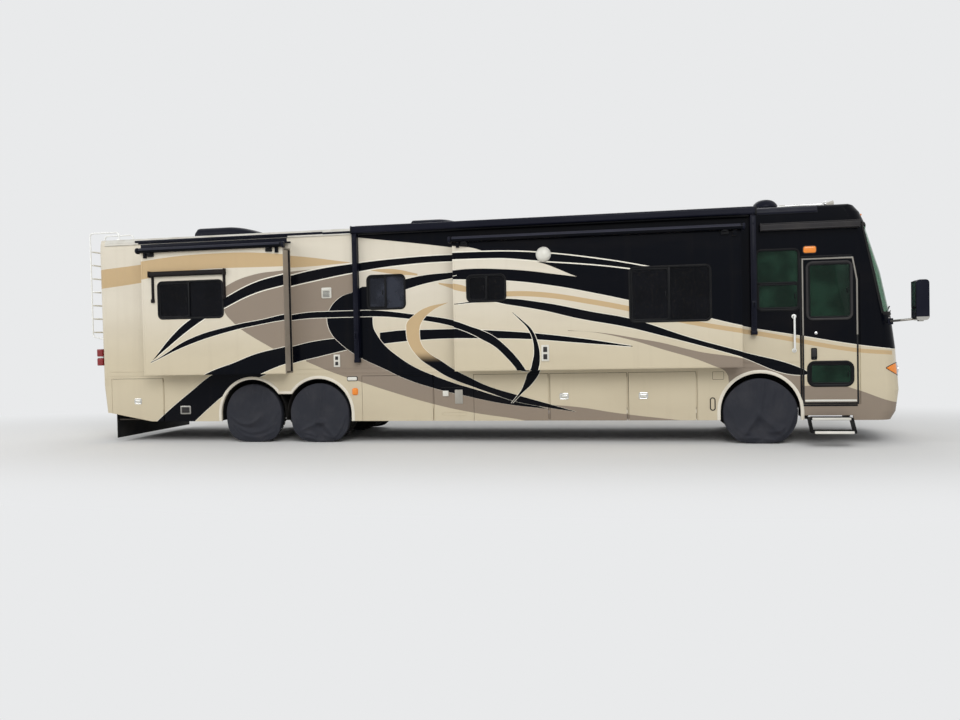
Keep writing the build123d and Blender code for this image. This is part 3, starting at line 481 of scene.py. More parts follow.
UPPER_SWEEP_HIGH = ((-5.34, 1.40), (-4.83, 1.93), (-4.55, 2.13), (-3.94, 2.45), (-3.42, 2.68), (-2.92, 2.80),
                    (-2.37, 2.90), (-1.80, 2.96), (-1.14, 3.01), (-0.13, 3.04), (0.72, 3.03), (1.29, 2.99),
                    (2.31, 2.84), (3.14, 2.67))
UPPER_SWEEP_LOW = ((-5.34, 1.385), (-5.22, 1.48), (-4.34, 2.09), (-3.98, 2.26), (-3.43, 2.49), (-2.92, 2.61),
                   (-2.37, 2.71), (-1.80, 2.80), (-1.14, 2.88), (-0.12, 2.92), (0.72, 2.91), (1.29, 2.85),
                   (2.23, 2.75), (2.83, 2.66))
SHOULDER_LOW = ((-0.12, 2.62), (0.79, 2.57), (1.56, 2.46), (2.17, 2.33), (2.71, 2.20), (3.81, 1.92), (4.35, 1.78),
                (5.23, 1.61), (5.97, 1.47), (6.46, 1.40))
LEAF_LOW = ((-0.12, 2.75), (0.24, 2.77), (0.82, 2.74), (1.19, 2.70), (1.57, 2.64), (1.90, 2.59))
LEAF_HIGH = ((-0.12, 2.915), (0.72, 2.905), (1.25, 2.85), (1.90, 2.59))
EAVE_WEDGE = ((-1.70, 3.38), (-0.12, 3.15), (0.42, 3.05), (0.60, 2.93))
TAN_BAND = Stripe(((-6.50, 2.69), (-5.70, 2.77), (-4.90, 2.88), (-4.10, 2.94), (-2.90, 2.93), (-1.85, 2.97)),
                  ((-6.50, 3.02), (-5.75, 3.08), (-4.80, 3.17), (-3.90, 3.19), (-2.90, 3.13), (-1.85, 2.98)),
                  TAN, pin=False)
TAN_LINE = Stripe(((0.45, 2.32), (0.83, 2.32), (1.37, 2.29), (2.11, 2.16), (2.71, 2.03), (3.65, 1.80), (4.71, 1.60),
                   (5.94, 1.36), (6.45, 1.31)),
                  ((0.45, 2.38), (0.83, 2.40), (1.37, 2.37), (2.11, 2.24), (2.71, 2.11), (3.65, 1.87), (4.71, 1.67),
                   (5.94, 1.42), (6.45, 1.37)), TAN, pin=False)
TAN_CHIPS = (
    Stripe(((-1.54, 2.84), (-1.10, 2.76), (-0.70, 2.72)), ((-1.54, 2.85), (-1.10, 2.84), (-0.70, 2.75)), TAN, pin=False),
    Stripe(((-0.35, 2.57), (0.10, 2.42), (0.20, 2.41)), ((-0.35, 2.59), (0.10, 2.52), (0.20, 2.48)), TAN, pin=False),
)
WINDOW_TAIL = Stripe(((-0.95, 2.49), (-0.60, 2.58), (-0.12, 2.66), (0.02, 2.68)),
                     ((-0.95, 2.66), (-0.60, 2.72), (-0.12, 2.75), (0.02, 2.76)), MIDNIGHT)
LONG_SPEAR = Stripe(((-0.03, 2.22), (0.54, 2.25), (0.80, 2.20), (1.37, 2.09), (1.92, 1.95), (2.65, 1.80), (3.13, 1.67),
                     (4.22, 1.35), (5.20, 1.03), (5.29, 1.05)),
                    ((-0.03, 2.23), (0.69, 2.29), (1.37, 2.21), (2.11, 2.05), (2.72, 1.92), (3.58, 1.62), (4.31, 1.40),
                     (5.20, 1.12), (5.29, 1.06)), MIDNIGHT)
SHORT_SPEAR = Stripe(((-1.36, 1.62), (-0.92, 1.66), (-0.13, 1.69), (0.39, 1.68), (1.17, 1.65), (1.92, 1.58), (2.72, 1.505)),
                     ((-1.36, 1.81), (-0.92, 1.84), (-0.12, 1.84), (0.39, 1.81), (1.14, 1.75), (1.92, 1.65), (2.72, 1.515)),
                     MIDNIGHT)
REAR_SWEEP = Stripe(((-5.56, 0.24), (-4.84, 0.26), (-4.75, 0.34), (-4.44, 0.60), (-4.14, 0.82), (-3.44, 1.13), (-2.90, 1.33), (-2.41, 1.44), (-1.94, 1.54)),
                    ((-5.56, 0.26), (-5.44, 0.365), (-5.15, 0.60), (-4.785, 0.872), (-4.36, 1.165), (-3.79, 1.37), (-3.42, 1.50), (-2.90, 1.61),
                     (-2.57, 1.68), (-1.94, 1.75)), MIDNIGHT)
HOOK = Stripe(((0.54, 1.40), (0.64, 0.62), (0.77, 0.02), (0.89, -0.47), (1.05, -0.95), (1.21, -1.29), (1.41, -1.71),
               (1.64, -2.04), (1.83, -2.21), (2.06, -2.27), (2.20, -2.23), (2.41, -2.03), (2.50, -1.78), (2.57, -1.65)),
              ((0.54, 1.40), (0.62, 1.12), (0.74, 0.62), (0.87, 0.20), (0.95, -0.07), (1.09, -0.45), (1.23, -0.77),
               (1.43, -1.08), (1.60, -1.28), (1.76, -1.40), (1.90, -1.47), (2.05, -1.48), (2.18, -1.45), (2.21, -0.93),
               (2.57, -0.93)), MIDNIGHT, upright=True)
LONG_ARC = Stripe(((-5.34, 1.385), (-4.62, 1.68), (-3.77, 1.91), (-3.44, 1.97), (-2.90, 2.05), (-2.39, 2.08), (-1.63, 2.08),
                   (-0.84, 2.02), (-0.11, 1.88), (0.22, 1.76), (0.39, 1.67), (0.60, 1.55), (0.79, 1.37), (0.92, 1.22),
                   (0.97, 1.15), (1.09, 1.14)),
                  ((-5.34, 1.40), (-5.24, 1.44), (-4.62, 1.77), (-3.77, 1.99), (-3.27, 2.07), (-2.90, 2.14), (-2.39, 2.18),
                   (-1.63, 2.18), (-0.76, 2.09), (-0.03, 1.96), (0.22, 1.87), (0.41, 1.80), (0.60, 1.70), (0.79, 1.54),
                   (0.98, 1.33), (1.09, 1.17)), MIDNIGHT)
RING = Stripe(((0.50, 1.80), (0.56, 1.41), (0.67, 0.85), (0.83, 0.39), (0.91, 0.17), (1.07, -0.23), (1.19, -0.43),
               (1.41, -0.73), (1.70, -0.90), (1.90, -0.91), (2.09, -0.76), (2.20, -0.56), (2.27, -0.20)),
              ((0.50, 1.82), (0.62, 1.41), (0.77, 0.89), (0.93, 0.39), (1.04, 0.16), (1.18, -0.11), (1.32, -0.32),
               (1.49, -0.57), (1.61, -0.66), (1.79, -0.69), (1.96, -0.65), (2.14, -0.47), (2.27, -0.19)),
              TAN, upright=True)
CRESCENT = Stripe(((0.64, 0.80), (0.86, 0.97), (1.00, 1.03), (1.12, 1.08), (1.17, 1.15), (1.29, 1.19), (1.46, 1.22),
                   (1.61, 1.21), (1.80, 1.14), (1.97, 0.99), (2.07, 0.89)),
                  ((0.64, 0.82), (0.79, 0.97), (0.96, 1.15), (1.15, 1.27), (1.38, 1.31), (1.59, 1.28), (1.80, 1.19),
                   (1.95, 1.04), (2.07, 0.90)), MIDNIGHT, upright=True)
TAUPE_REAR = ((1.55, -3.05), (1.92, -3.67), (2.02, -3.79), (2.23, -3.96), (2.62, -3.98))
TAUPE_TOP = ((-3.98, 2.58), (-3.89, 2.65), (-3.42, 2.81), (-2.93, 2.86), (-2.40, 2.89), (-1.70, 2.90))
TAUPE_BELLY = Stripe(((-2.66, 1.36), (-2.28, 1.20), (-1.66, 0.99), (-1.23, 0.85), (-0.47, 0.63), (0.18, 0.49), (0.86, 0.39),
                      (1.40, 0.30), (3.46, 0.30)),
                     ((-2.66, 1.38), (-1.90, 1.54), (-1.40, 1.35), (-0.90, 1.15), (-0.40, 0.96), (0.20, 0.80), (0.62, 0.67),
                      (1.26, 0.62), (1.87, 0.57), (2.43, 0.48), (3.46, 0.355)), TAUPE, pin=False)
TAUPE_NOSE = Stripe(((1.75, 1.765), (2.10, 1.74), (2.65, 1.62), (3.12, 1.47), (3.87, 1.21), (4.12, 1.06), (4.20, 0.30),
                     (7.00, 0.30)),
                    ((1.75, 1.775), (2.29, 1.72), (2.83, 1.62), (3.13, 1.56), (3.70, 1.41), (4.27, 1.31), (5.17, 1.05),
                     (5.19, 0.87), (5.71, 0.87), (5.94, 0.81), (6.48, 0.62), (7.00, 0.58)), TAUPE, pin=False)
PIN_HALF = 0.009


@dataclass(frozen=True)
class Livery:
    """The full-body paint scheme, laid out in x and z.

    Args:
        face: whether it goes on the side walls, a slide-out room or a moulded cap.
    """

    face: Face

    def inside(self, graph: Graph, stripe: Stripe, x: Signal, z: Signal) -> tuple[Signal, Signal]:
        """Masks of one stripe.

        Args:
            graph: the material in the making.
            stripe: the band.
            x: place along the coach.
            z: height.

        Returns:
            The band, and the band with its fine lines.
        """
        along, across = (z, x) if stripe.upright else (x, z)
        low, high = graph.curve(along, stripe.low), graph.curve(along, stripe.high)
        first = max(stripe.low[0][0], stripe.high[0][0])
        last = min(stripe.low[-1][0], stripe.high[-1][0])
        ends = (along > first) * (along < last)
        core = ends * (across > low) * (across < high)
        if not stripe.pin:
            return core, core
        open_end = (high - low) > 0.012
        return core, ends * open_end * (across > low - PIN_HALF) * (across < high + PIN_HALF)

    def coat(self, graph: Graph) -> Signal:
        """Paint colour at a point of the body.

        Args:
            graph: the material in the making.

        Returns:
            The colour.
        """
        x, _, z = graph.axes()
        # cream darker towards the bottom and lighter towards the top: painted shade on the lower body
        base = graph.mix(z.ramp(1.2, 2.7), CREAM, CREAM_HIGH)

        def lay(under: Signal, stripe: Stripe, paint: object = None) -> Signal:
            """Paints one stripe over what is there."""
            core, wide = self.inside(graph, stripe, x, z)
            edged = graph.mix(wide, under, PIN) if stripe.pin else under
            return graph.mix(core, edged, stripe.colour if paint is None else paint)

        base = lay(base, TAN_BAND)
        quarter = (x > graph.curve(z, TAUPE_REAR)) * (x < -1.70) * (z < graph.curve(x, TAUPE_TOP)) * (z > 1.42)
        base = graph.mix(quarter, base, TAUPE)
        for stripe in (TAUPE_BELLY, TAUPE_NOSE, TAN_LINE, *TAN_CHIPS):
            base = lay(base, stripe)
        shoulder = graph.curve(x, SHOULDER_LOW)
        front = (x > -0.12) * (z > shoulder)
        base = graph.mix((x > -0.12) * (z > shoulder - PIN_HALF), base, PIN)
        base = graph.mix(front, base, MIDNIGHT)
        eave = graph.curve(x, EAVE_WEDGE)
        top_line = graph.curve(x, UPPER_SWEEP_HIGH)
        low_line = graph.curve(x, UPPER_SWEEP_LOW)
        gap = (x > -1.70) * (x < 0.45)
        base = graph.mix(gap * (z > eave), base, MIDNIGHT)
        base = graph.mix((x > -0.13) * (x < 0.42) * (z > top_line) * (z < eave), base, CREAM_HIGH)
        leaf = (z > graph.curve(x, LEAF_LOW)) * (z < graph.curve(x, LEAF_HIGH)) * (x > -0.13) * (x < 1.9)
        base = graph.mix(leaf, base, CREAM_HIGH)
        sweep = (x > -5.34) * (x < 1.9) * (z > low_line) * (z < top_line)
        lines = (abs(z - top_line) < PIN_HALF) * (x < 3.14) | (abs(z - low_line) < PIN_HALF) * (x < 2.83)
        base = graph.mix(lines * (x > -5.2), base, PIN)
        base = graph.mix(sweep * (abs(z - top_line) > PIN_HALF) * (abs(z - low_line) > PIN_HALF), base, MIDNIGHT)
        for stripe in (WINDOW_TAIL, LONG_SPEAR, SHORT_SPEAR, REAR_SWEEP, HOOK, LONG_ARC):
            base = lay(base, stripe)
        base = lay(base, RING, graph.mix(z.ramp(1.30, 1.50), MIDNIGHT, TAN))
        base = lay(base, CRESCENT)
        return base

    def make(self) -> bpy.types.Material:
        """Builds the material, once.

        Returns:
            The material.
        """
        name = f"livery_{self.face.value}"
        found = bpy.data.materials.get(name)
        if found:
            return found
        graph = Graph(name)
        colour = self.coat(graph)
        x, y, z = graph.axes()
        facing = graph.node("ShaderNodeTexCoord", output="Normal")
        across = graph.node("ShaderNodeSeparateXYZ", inputs={0: facing})
        along, sideways, upward = (Signal(graph, across.socket.node.outputs[k]) for k in range(3))
        if self.face is Face.ROOM:
            colour = graph.mix(abs(sideways) < 0.5, colour, STRIP)
            colour = graph.mix(abs(y) > 1.586, colour, MIDNIGHT)
        if self.face is Face.CAP:
            colour = graph.mix((z > 3.44) * (abs(along) < 0.35) * (x < 0), colour, CREAM_HIGH)
            inner = (along * x < -1.0) * (abs(x) > 6.05) | (upward < -0.5) * (z > 3.3)
            colour = graph.mix(inner | (sideways * y < -0.05), colour, INNER_PANEL)
        else:
            colour = graph.mix(sideways * y < -0.05, colour, INNER_PANEL)
        film = graph.noise(1.3, 6.0, (0.5, 1, 1.6))
        streak = graph.noise(9.0, 4.0, (1, 1, 0.05))
        low = z.ramp(0.25, 1.0, 1.0, 0.0)
        pale = (colour * 1.0).ramp(0.0, 0.35, 0.10, 1.0)
        dust = (film.ramp(0.45, 0.75) * 0.10 + streak.ramp(0.5, 0.8) * 0.06 + low * film * 0.18) * pale
        colour = graph.mix(dust, colour, ROAD_DUST)
        ripple = graph.noise(2.2, 2.0, (1, 1, 0.5))
        peel = graph.noise(220.0, 2.0)
        graph.set(Base_Color=colour, Roughness=dust * 0.9 + peel * 0.03 + 0.20, Specular_IOR_Level=0.06,
                  Coat_Weight=0.03, Coat_Roughness=0.06, Normal=graph.bump(ripple + peel * 0.01, 0.004, 0.35))
        return graph.material


@dataclass(frozen=True)
class Pane:
    """Tinted window glass.

    Args:
        name: the material's name.
        tint: colour of the glass.
        dense: opacity.
        cloud: strength of its dark patches, which are a painted reflection.
        cab: colour of the panes ahead of the cab's rear line.
        hall: colour of the small pane behind the middle.
    """

    name: str
    tint: tuple[float, float, float, float]
    dense: float = 0.9
    cab: tuple[float, float, float, float] | None = None
    hall: tuple[float, float, float, float] | None = None
    cloud: float = 0.55

    def make(self) -> bpy.types.Material:
        """Builds the material, once.

        Returns:
            The material.
        """
        found = bpy.data.materials.get(self.name)
        if found:
            return found
        graph = Graph(self.name)
        x, y, _ = graph.axes()
        cloud = graph.noise(2.3, 4.0)
        film = graph.noise(26.0, 4.0).ramp(0.5, 0.85) * 0.04
        colour = self.tint
        if self.cab:
            colour = graph.mix(x > 4.4, colour, self.cab)
        if self.hall:
            colour = graph.mix((x > -2.0) * (x < 0.0) * (y < 0), colour, self.hall)
        # dark cloudy patches over the tint: painted reflection of the surroundings in the glass
        shade = graph.mix(cloud.ramp(0.40, 0.62, self.cloud, 0.0), colour, srgb(4, 5, 7))
        shade = graph.mix(film, shade, ROAD_DUST)
        graph.set(Base_Color=shade, Roughness=film + 0.03, Alpha=film + self.dense, Specular_IOR_Level=0.07,
                  Coat_Weight=0.04, Coat_Roughness=0.02, Normal=graph.bump(cloud, 0.002, 0.3))
        return graph.material


STEEL = Finish("chassis_steel", srgb(38, 38, 40), srgb(92, 74, 56), 0.62, 0.3, grain=Grain.CAST, size=140, depth=0.0006)
CAST_IRON = Finish("cast_iron", srgb(46, 46, 48), srgb(96, 78, 60), 0.66, 0.4, grain=Grain.CAST, size=90, depth=0.0012,
                   patch=0.5)
ROOF_SKIN = Finish("roof_skin", srgb(212, 209, 199), srgb(160, 152, 136), 0.55, grain=Grain.CAST, size=26, depth=0.0012,
                   patch=0.6)
DECK_BOARD = Finish("deck_board", srgb(60, 55, 50), srgb(96, 84, 68), 0.8, grain=Grain.BRUSHED, size=60, patch=0.4)
TRIM_BLACK = Finish("trim_black", srgb(14, 15, 18), srgb(48, 47, 46), 0.42, gloss=0.12, grain=Grain.MOULDED, size=420, depth=0.0002)
FLAP_RUBBER = Finish("flap_rubber", srgb(13, 13, 15), srgb(70, 66, 60), 0.7, grain=Grain.MOULDED, size=160, depth=0.0006,
                     patch=0.4)
TYRE_RUBBER = Finish("tyre_rubber", srgb(24, 24, 25), srgb(84, 78, 70), 0.78, grain=Grain.MOULDED, size=260,
                     depth=0.0004, patch=0.4)
WHITE_TUBE = Finish("white_tube", srgb(194, 190, 180), srgb(176, 168, 150), 0.28, coat=0.4, patch=0.3, depth=0.0001)
WHITE_SHEET = Finish("white_sheet", srgb(226, 224, 214), srgb(170, 160, 140), 0.34, coat=0.3, patch=0.3, depth=0.0001)
NAVY_CASE = Finish("navy_case", srgb(13, 15, 28), srgb(44, 45, 54), 0.38, coat=0.03, gloss=0.09, grain=Grain.MOULDED, size=300,
                   depth=0.0002)
GREY_CASE = Finish("grey_case", srgb(44, 43, 45), srgb(84, 79, 73), 0.45, coat=0.03, gloss=0.15, grain=Grain.BRUSHED, size=90,
                   depth=0.0002)
SILVER = Finish("silver_trim", srgb(178, 176, 170), srgb(110, 104, 96), 0.3, 0.85, grain=Grain.BRUSHED, size=300,
                depth=0.0001, patch=0.3)
CHROME = Finish("bright_metal", srgb(214, 214, 212), srgb(140, 138, 132), 0.12, 1.0, depth=0.00005, patch=0.15)
COVER_CLOTH = Finish("cover_cloth", srgb(37, 39, 47), srgb(74, 73, 76), 0.66, grain=Grain.WEAVE, size=180,
                     depth=0.0006, patch=0.35)
TOPPER_CLOTH = Finish("topper_cloth", srgb(15, 17, 33), srgb(54, 55, 68), 0.5, grain=Grain.WEAVE, size=160,
                      depth=0.0004, patch=0.3)
DASH_SKIN = Finish("dash_skin", srgb(66, 58, 50), srgb(98, 88, 78), 0.6, grain=Grain.LEATHER, size=240, depth=0.0005)
SEAT_HIDE = Finish("seat_hide", srgb(168, 146, 116), srgb(126, 106, 82), 0.46, grain=Grain.LEATHER, size=190,
                   depth=0.0007)
RED_LENS = Finish("red_lens", srgb(132, 18, 22), srgb(80, 10, 12), 0.16, coat=0.8, grain=Grain.MOULDED, size=90,
                  depth=0.0008)
AMBER_LENS = Finish("amber_lens", srgb(242, 140, 40), srgb(200, 98, 22), 0.16, coat=0.8, grain=Grain.MOULDED, size=90,
                    depth=0.0008)
CLEAR_LENS = Finish("clear_lens", srgb(214, 216, 214), srgb(150, 152, 150), 0.1, 0.35, coat=0.9, grain=Grain.BRUSHED,
                    size=60, depth=0.0010)
BLIND = Finish("window_blind", srgb(44, 42, 44), srgb(70, 66, 62), 0.8, grain=Grain.WEAVE, size=90, depth=0.0006)
HOUSE_GLASS = Pane("house_glass", srgb(13, 14, 19), 0.95)
SIDE_GLASS = Pane("side_glass", srgb(13, 14, 19), 0.90, srgb(32, 56, 44), srgb(54, 57, 66))
CAB_GLASS = Pane("cab_glass", srgb(30, 54, 42), 0.86)
SHIELD_GLASS = Pane("shield_glass", srgb(46, 118, 76), 0.46, cloud=0.12)

AWNING_BROWN = Finish("awning_brown", srgb(22, 18, 19), srgb(52, 46, 43), 0.5, gloss=0.12, grain=Grain.MOULDED, size=300, depth=0.0002)
ARCH_CREAM = Finish("arch_cream", srgb(226, 219, 203), srgb(172, 158, 134), 0.3, coat=0.3, patch=0.4, depth=0.0001)
ROOF_EDGE_WHITE = Finish("roof_edge_white", srgb(224, 220, 210), srgb(168, 158, 138), 0.4, coat=0.2, patch=0.5,
                         depth=0.0002)
ROOM_SEAL = Finish("room_seal", srgb(142, 132, 118), srgb(104, 96, 84), 0.6, patch=0.3)
RIM_STEEL = Finish("rim_steel", srgb(196, 196, 192), srgb(112, 100, 86), 0.34, 0.5, grain=Grain.CAST, size=120, depth=0.0002,
                   patch=0.4)
STRIP_BROWN = Finish("seam_brown", srgb(104, 94, 82), srgb(70, 62, 54), 0.5, patch=0.3)
PLATE_GREY = Finish("plate_grey", srgb(168, 164, 154), srgb(120, 114, 104), 0.4, coat=0.2, patch=0.3, depth=0.0002)
DOOR_SILVER = Finish("door_silver", srgb(146, 142, 134), srgb(84, 80, 76), 0.34, 0.7, grain=Grain.BRUSHED, size=200,
                     depth=0.0001, patch=0.3)
MIRROR_GLASS = Finish("mirror_glass", srgb(50, 54, 62), srgb(44, 46, 52), 0.12, 0.4, depth=0.00002, patch=0.1)

BODY_COAT = Livery(Face.BODY)
ROOM_COAT = Livery(Face.ROOM)
CAP_COAT = Livery(Face.CAP)
HEAD_LENS = Finish("head_lens", srgb(172, 176, 180), srgb(96, 98, 102), 0.12, 0.55, coat=0.5, grain=Grain.BRUSHED, size=60,
                   depth=0.0006)
LAMP_PUPIL = Finish("lamp_pupil", srgb(70, 73, 78), srgb(40, 42, 46), 0.1, 0.7, coat=0.6, depth=0.0001)
LAMP_SURROUND = Finish("lamp_surround", CREAM, ROAD_DUST, 0.3, patch=0.15, depth=0.0001)
LAMP_LENSES = Zoned("lamp_lenses", CLEAR_LENS, (
    Zone(LAMP_SURROUND, x=(0, 9)),
    Zone(RED_LENS, x=(-9, 0)), Zone(CLEAR_LENS, x=(-9, 0), z=(1.45, 1.53))))
MIRROR_COATS = Zoned("mirror_coats", NAVY_CASE, (Zone(SILVER, wide=(1.24, 1.455)), Zone(SILVER, z=(0, 1.85), wide=(1.24, 2))))
ROOF_TOP_COATS = Zoned("roof_fitting_coats", NAVY_CASE, (Zone(WHITE_TUBE, x=(4.993, 9)), Zone(WHITE_TUBE, y=(-2, -0.651))))
DOOR_EDGE_COATS = Zoned("door_edge_coats", DOOR_SILVER, (Zone(TRIM_BLACK, z=(0, 1.62)),))
AWNING_COATS = Zoned("awning_coats", NAVY_CASE, (Zone(GREY_CASE, x=(4.56, 9), z=(0, 3.32)),))
ROOF_COATS = Zoned("roof_coats", ROOF_SKIN, (Zone(NAVY_CASE, x=(-1.77, 9), z=(0, 3.50)),
                                             Zone(NAVY_CASE, x=(4.50, 9), wide=(0.95, 2))))
COATS: dict[str, object] = {
    "chassis_frame": STEEL, "floor_deck": DECK_BOARD, "axles": CAST_IRON, "engine_block": CAST_IRON,
    "wall_right": BODY_COAT, "wall_left": BODY_COAT, "skirt_right": BODY_COAT, "skirt_left": BODY_COAT,
    "front_cap": CAP_COAT, "rear_cap": CAP_COAT, "engine_door": CAP_COAT, "entry_door": BODY_COAT,
    "roof": ROOF_COATS, "windshield": SHIELD_GLASS, "lamps": LAMP_LENSES, "entry_door_glass": CAB_GLASS,
    "entry_step": TRIM_BLACK, "awnings": AWNING_COATS, "ladder": WHITE_TUBE, "mirrors": MIRROR_COATS,
    "mud_flap": FLAP_RUBBER,
    "dashboard": DASH_SKIN, "steering_wheel": TRIM_BLACK, "cab_seats": SEAT_HIDE, "roof_air_conditioners": NAVY_CASE,
    "roof_fittings": ROOF_TOP_COATS, "window_glass": SIDE_GLASS, "slide_bedroom": ROOM_COAT,
    "slide_living": ROOM_COAT, "slide_driver_side": ROOM_COAT,
}
COAT_STARTS: tuple[tuple[str, object], ...] = (
    ("slide_", HOUSE_GLASS), ("baggage_door", BODY_COAT), ("knuckle", CAST_IRON), ("front_wheel", TYRE_RUBBER),
    ("drive_wheel", TYRE_RUBBER), ("tag_wheel", TYRE_RUBBER), ("front_cover", COVER_CLOTH),
    ("drive_cover", COVER_CLOTH), ("tag_cover", COVER_CLOTH),
)


def dress_nodes(nodes: dict[str, bpy.types.Object]) -> None:
    """Gives every carried-over node its own material."""
    for name, node in nodes.items():
        coat = COATS.get(name) or next((c for start, c in COAT_STARTS if name.startswith(start)), STEEL)
        node.data.materials.clear()
        node.data.materials.append(coat.make())
        LOG.info("coat %s: %s", name, node.data.materials[0].name)


AXLES = (4.66, -2.38, -3.57)


class Form:
    """A mesh in the making, in metres in the coach's own frame."""

    def __init__(self) -> None:
        """Starts empty."""
        self.bm = bmesh.new()

    def block(self, x: Span, y: Span, z: Span, bevel: float = 0.0, segments: int = 2,
              turn: Matrix | None = None) -> "Form":
        """Adds a box with rounded edges.

        Args:
            x: its two ends along X.
            y: its two ends along Y.
            z: its two ends along Z.
            bevel: radius of its edges.
            segments: facets across an edge.
            turn: a rotation about its middle.

        Returns:
            This form.
        """
        verts = bmesh.ops.create_cube(self.bm, size=1.0)["verts"]
        middle = Vector([(a + b) / 2 for a, b in (x, y, z)])
        bmesh.ops.scale(self.bm, vec=[abs(b - a) for a, b in (x, y, z)], verts=verts)
        if turn:
            bmesh.ops.rotate(self.bm, matrix=turn.to_3x3(), verts=verts)
        bmesh.ops.translate(self.bm, vec=middle, verts=verts)
        if bevel:
            edges = list({e for v in verts for e in v.link_edges})
            bmesh.ops.bevel(self.bm, geom=edges, offset=bevel, segments=segments, affect="EDGES", profile=0.5,
                            clamp_overlap=True)
        return self

    def rows(self, loops: Sequence[Sequence[Vector]], ring: bool = True, closed: bool = False,
             caps: bool = True) -> "Form":
        """Skins a run of loops.

        Args:
            loops: equally long runs of points.
            ring: True where each loop closes on itself.
            closed: True where the last loop joins the first.
            caps: True to fill the first and last loop.

        Returns:
            This form.
        """
        made = [[self.bm.verts.new(p) for p in loop] for loop in loops]
        count = len(made[0])
        pairs = list(zip(made, made[1:])) + ([(made[-1], made[0])] if closed else [])
        for first, second in pairs:
            for k in range(count if ring else count - 1):
                nxt = (k + 1) % count
                self.bm.faces.new((first[k], first[nxt], second[nxt], second[k]))
        if caps and ring and not closed:
            self.bm.faces.new(made[0][::-1])
            self.bm.faces.new(made[-1])
        return self

    def tube(self, points: Sequence[Point3], radius: float, bend: float = 0.0, sides: int = 12,
             flat: float = 1.0) -> "Form":
        """Adds a bent bar.

        Args:
            points: the corners of its line.
            radius: its radius.
            bend: radius of its corners.
            sides: facets round it.
            flat: its second radius as a share of the first.

        Returns:
            This form.
        """
        line = rounded_line([Vector(p) for p in points], bend)
        loops = []
        side = None
        for k, point in enumerate(line):
            ahead = (line[min(k + 1, len(line) - 1)] - line[max(k - 1, 0)]).normalized()
            if side is None:
                side = ahead.orthogonal().normalized()
            side = (side - ahead * side.dot(ahead)).normalized()
            other = ahead.cross(side)
            loops.append([point + side * math.cos(a) * radius + other * math.sin(a) * radius * flat
                          for a in (2 * math.pi * s / sides for s in range(sides))])
        return self.rows(loops)

    def lathe(self, profile: Sequence[Point], centre: Point3, axis: Point3 = (0, 1, 0), steps: int = 48) -> "Form":
        """Adds a turned piece.

        Args:
            profile: radius and distance along the axis, in order.
            centre: the axis' zero point.
            axis: its direction.
            steps: facets round it.

        Returns:
            This form.
        """
        along = Vector(axis).normalized()
        side = along.orthogonal().normalized()
        other = along.cross(side)
        hub = Vector(centre)
        loops = []
        for radius, far in profile:
            spread = max(radius, 0.0002)
            loops.append([hub + along * far + (side * math.cos(a) + other * math.sin(a)) * spread
                          for a in (2 * math.pi * s / steps for s in range(steps))])
        return self.rows(loops)

    def surround(self, x: Span, z: Span, corner: float, section: Sequence[Point], side: int,
                 facets: int = 6) -> "Form":
        """Adds a closed moulding round a window or door, on a side wall.

        Args:
            x: its outer ends along X.
            z: its outer ends along Z.
            corner: outer corner radius.
            section: distance in from the outer edge and distance off the coach's middle, in order.
            side: -1 right, 1 left.
            facets: steps in a corner.

        Returns:
            This form.
        """
        loops = []
        for inset, off in section:
            loops.append([Vector((px, side * off, pz))
                          for px, pz in rounded_box((x[0] + inset, x[1] - inset), (z[0] + inset, z[1] - inset),
                                                    max(corner - inset, 0.002), facets)])
        return self.rows(loops, closed=True)

    def pad(self, x: Span, z: Span, corner: float, section: Sequence[Point], side: int, facets: int = 5) -> "Form":
        """Adds a filled plate with a moulded edge on a side wall; arguments as for a surround."""
        loops = []
        for inset, off in section:
            loops.append([Vector((px, side * off, pz))
                          for px, pz in rounded_box((x[0] + inset, x[1] - inset), (z[0] + inset, z[1] - inset),
                                                    max(corner - inset, 0.001), facets)])
        return self.rows(loops)

    def mirror(self) -> "Form":
        """Adds the same on the other side of the coach."""
        made = bmesh.ops.duplicate(self.bm, geom=self.bm.verts[:] + self.bm.edges[:] + self.bm.faces[:])["geom"]
        verts = [g for g in made if isinstance(g, bmesh.types.BMVert)]
        faces = [g for g in made if isinstance(g, bmesh.types.BMFace)]
        bmesh.ops.scale(self.bm, vec=(1, -1, 1), verts=verts)
        bmesh.ops.reverse_faces(self.bm, faces=faces)
        return self

    def make(self, name: str, finish: object, smooth: float = 40.0, shift: bool = True) -> bpy.types.Object:
        """Turns the form into an object.

        Args:
            name: the piece's name.
            finish: its finish.
            smooth: edges under this angle in degrees are shaded round.
            shift: False where the form isn't in the coach's frame.

        Returns:
            The object.
        """
        bmesh.ops.remove_doubles(self.bm, verts=self.bm.verts[:], dist=1e-5)
        bmesh.ops.recalc_face_normals(self.bm, faces=self.bm.faces[:])
        if shift:
            bmesh.ops.translate(self.bm, vec=(SHIFT, 0, 0), verts=self.bm.verts[:])
        mesh = bpy.data.meshes.new(name)
        self.bm.to_mesh(mesh)
        self.bm.free()
        mesh.shade_smooth()
        mesh.set_sharp_from_angle(angle=math.radians(smooth))
        mesh.materials.append(finish.make())
        piece = bpy.data.objects.new(name, mesh)
        bpy.context.scene.collection.objects.link(piece)
        return piece

    def place(self, name: str, finish: object, body: str, smooth: float = 40.0) -> bpy.types.Object:
        """Makes the object and lets it ride on a body."""
        piece = self.make(name, finish, smooth)
        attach(piece, body)
        LOG.info("piece %s on %s", name, body)
        return piece


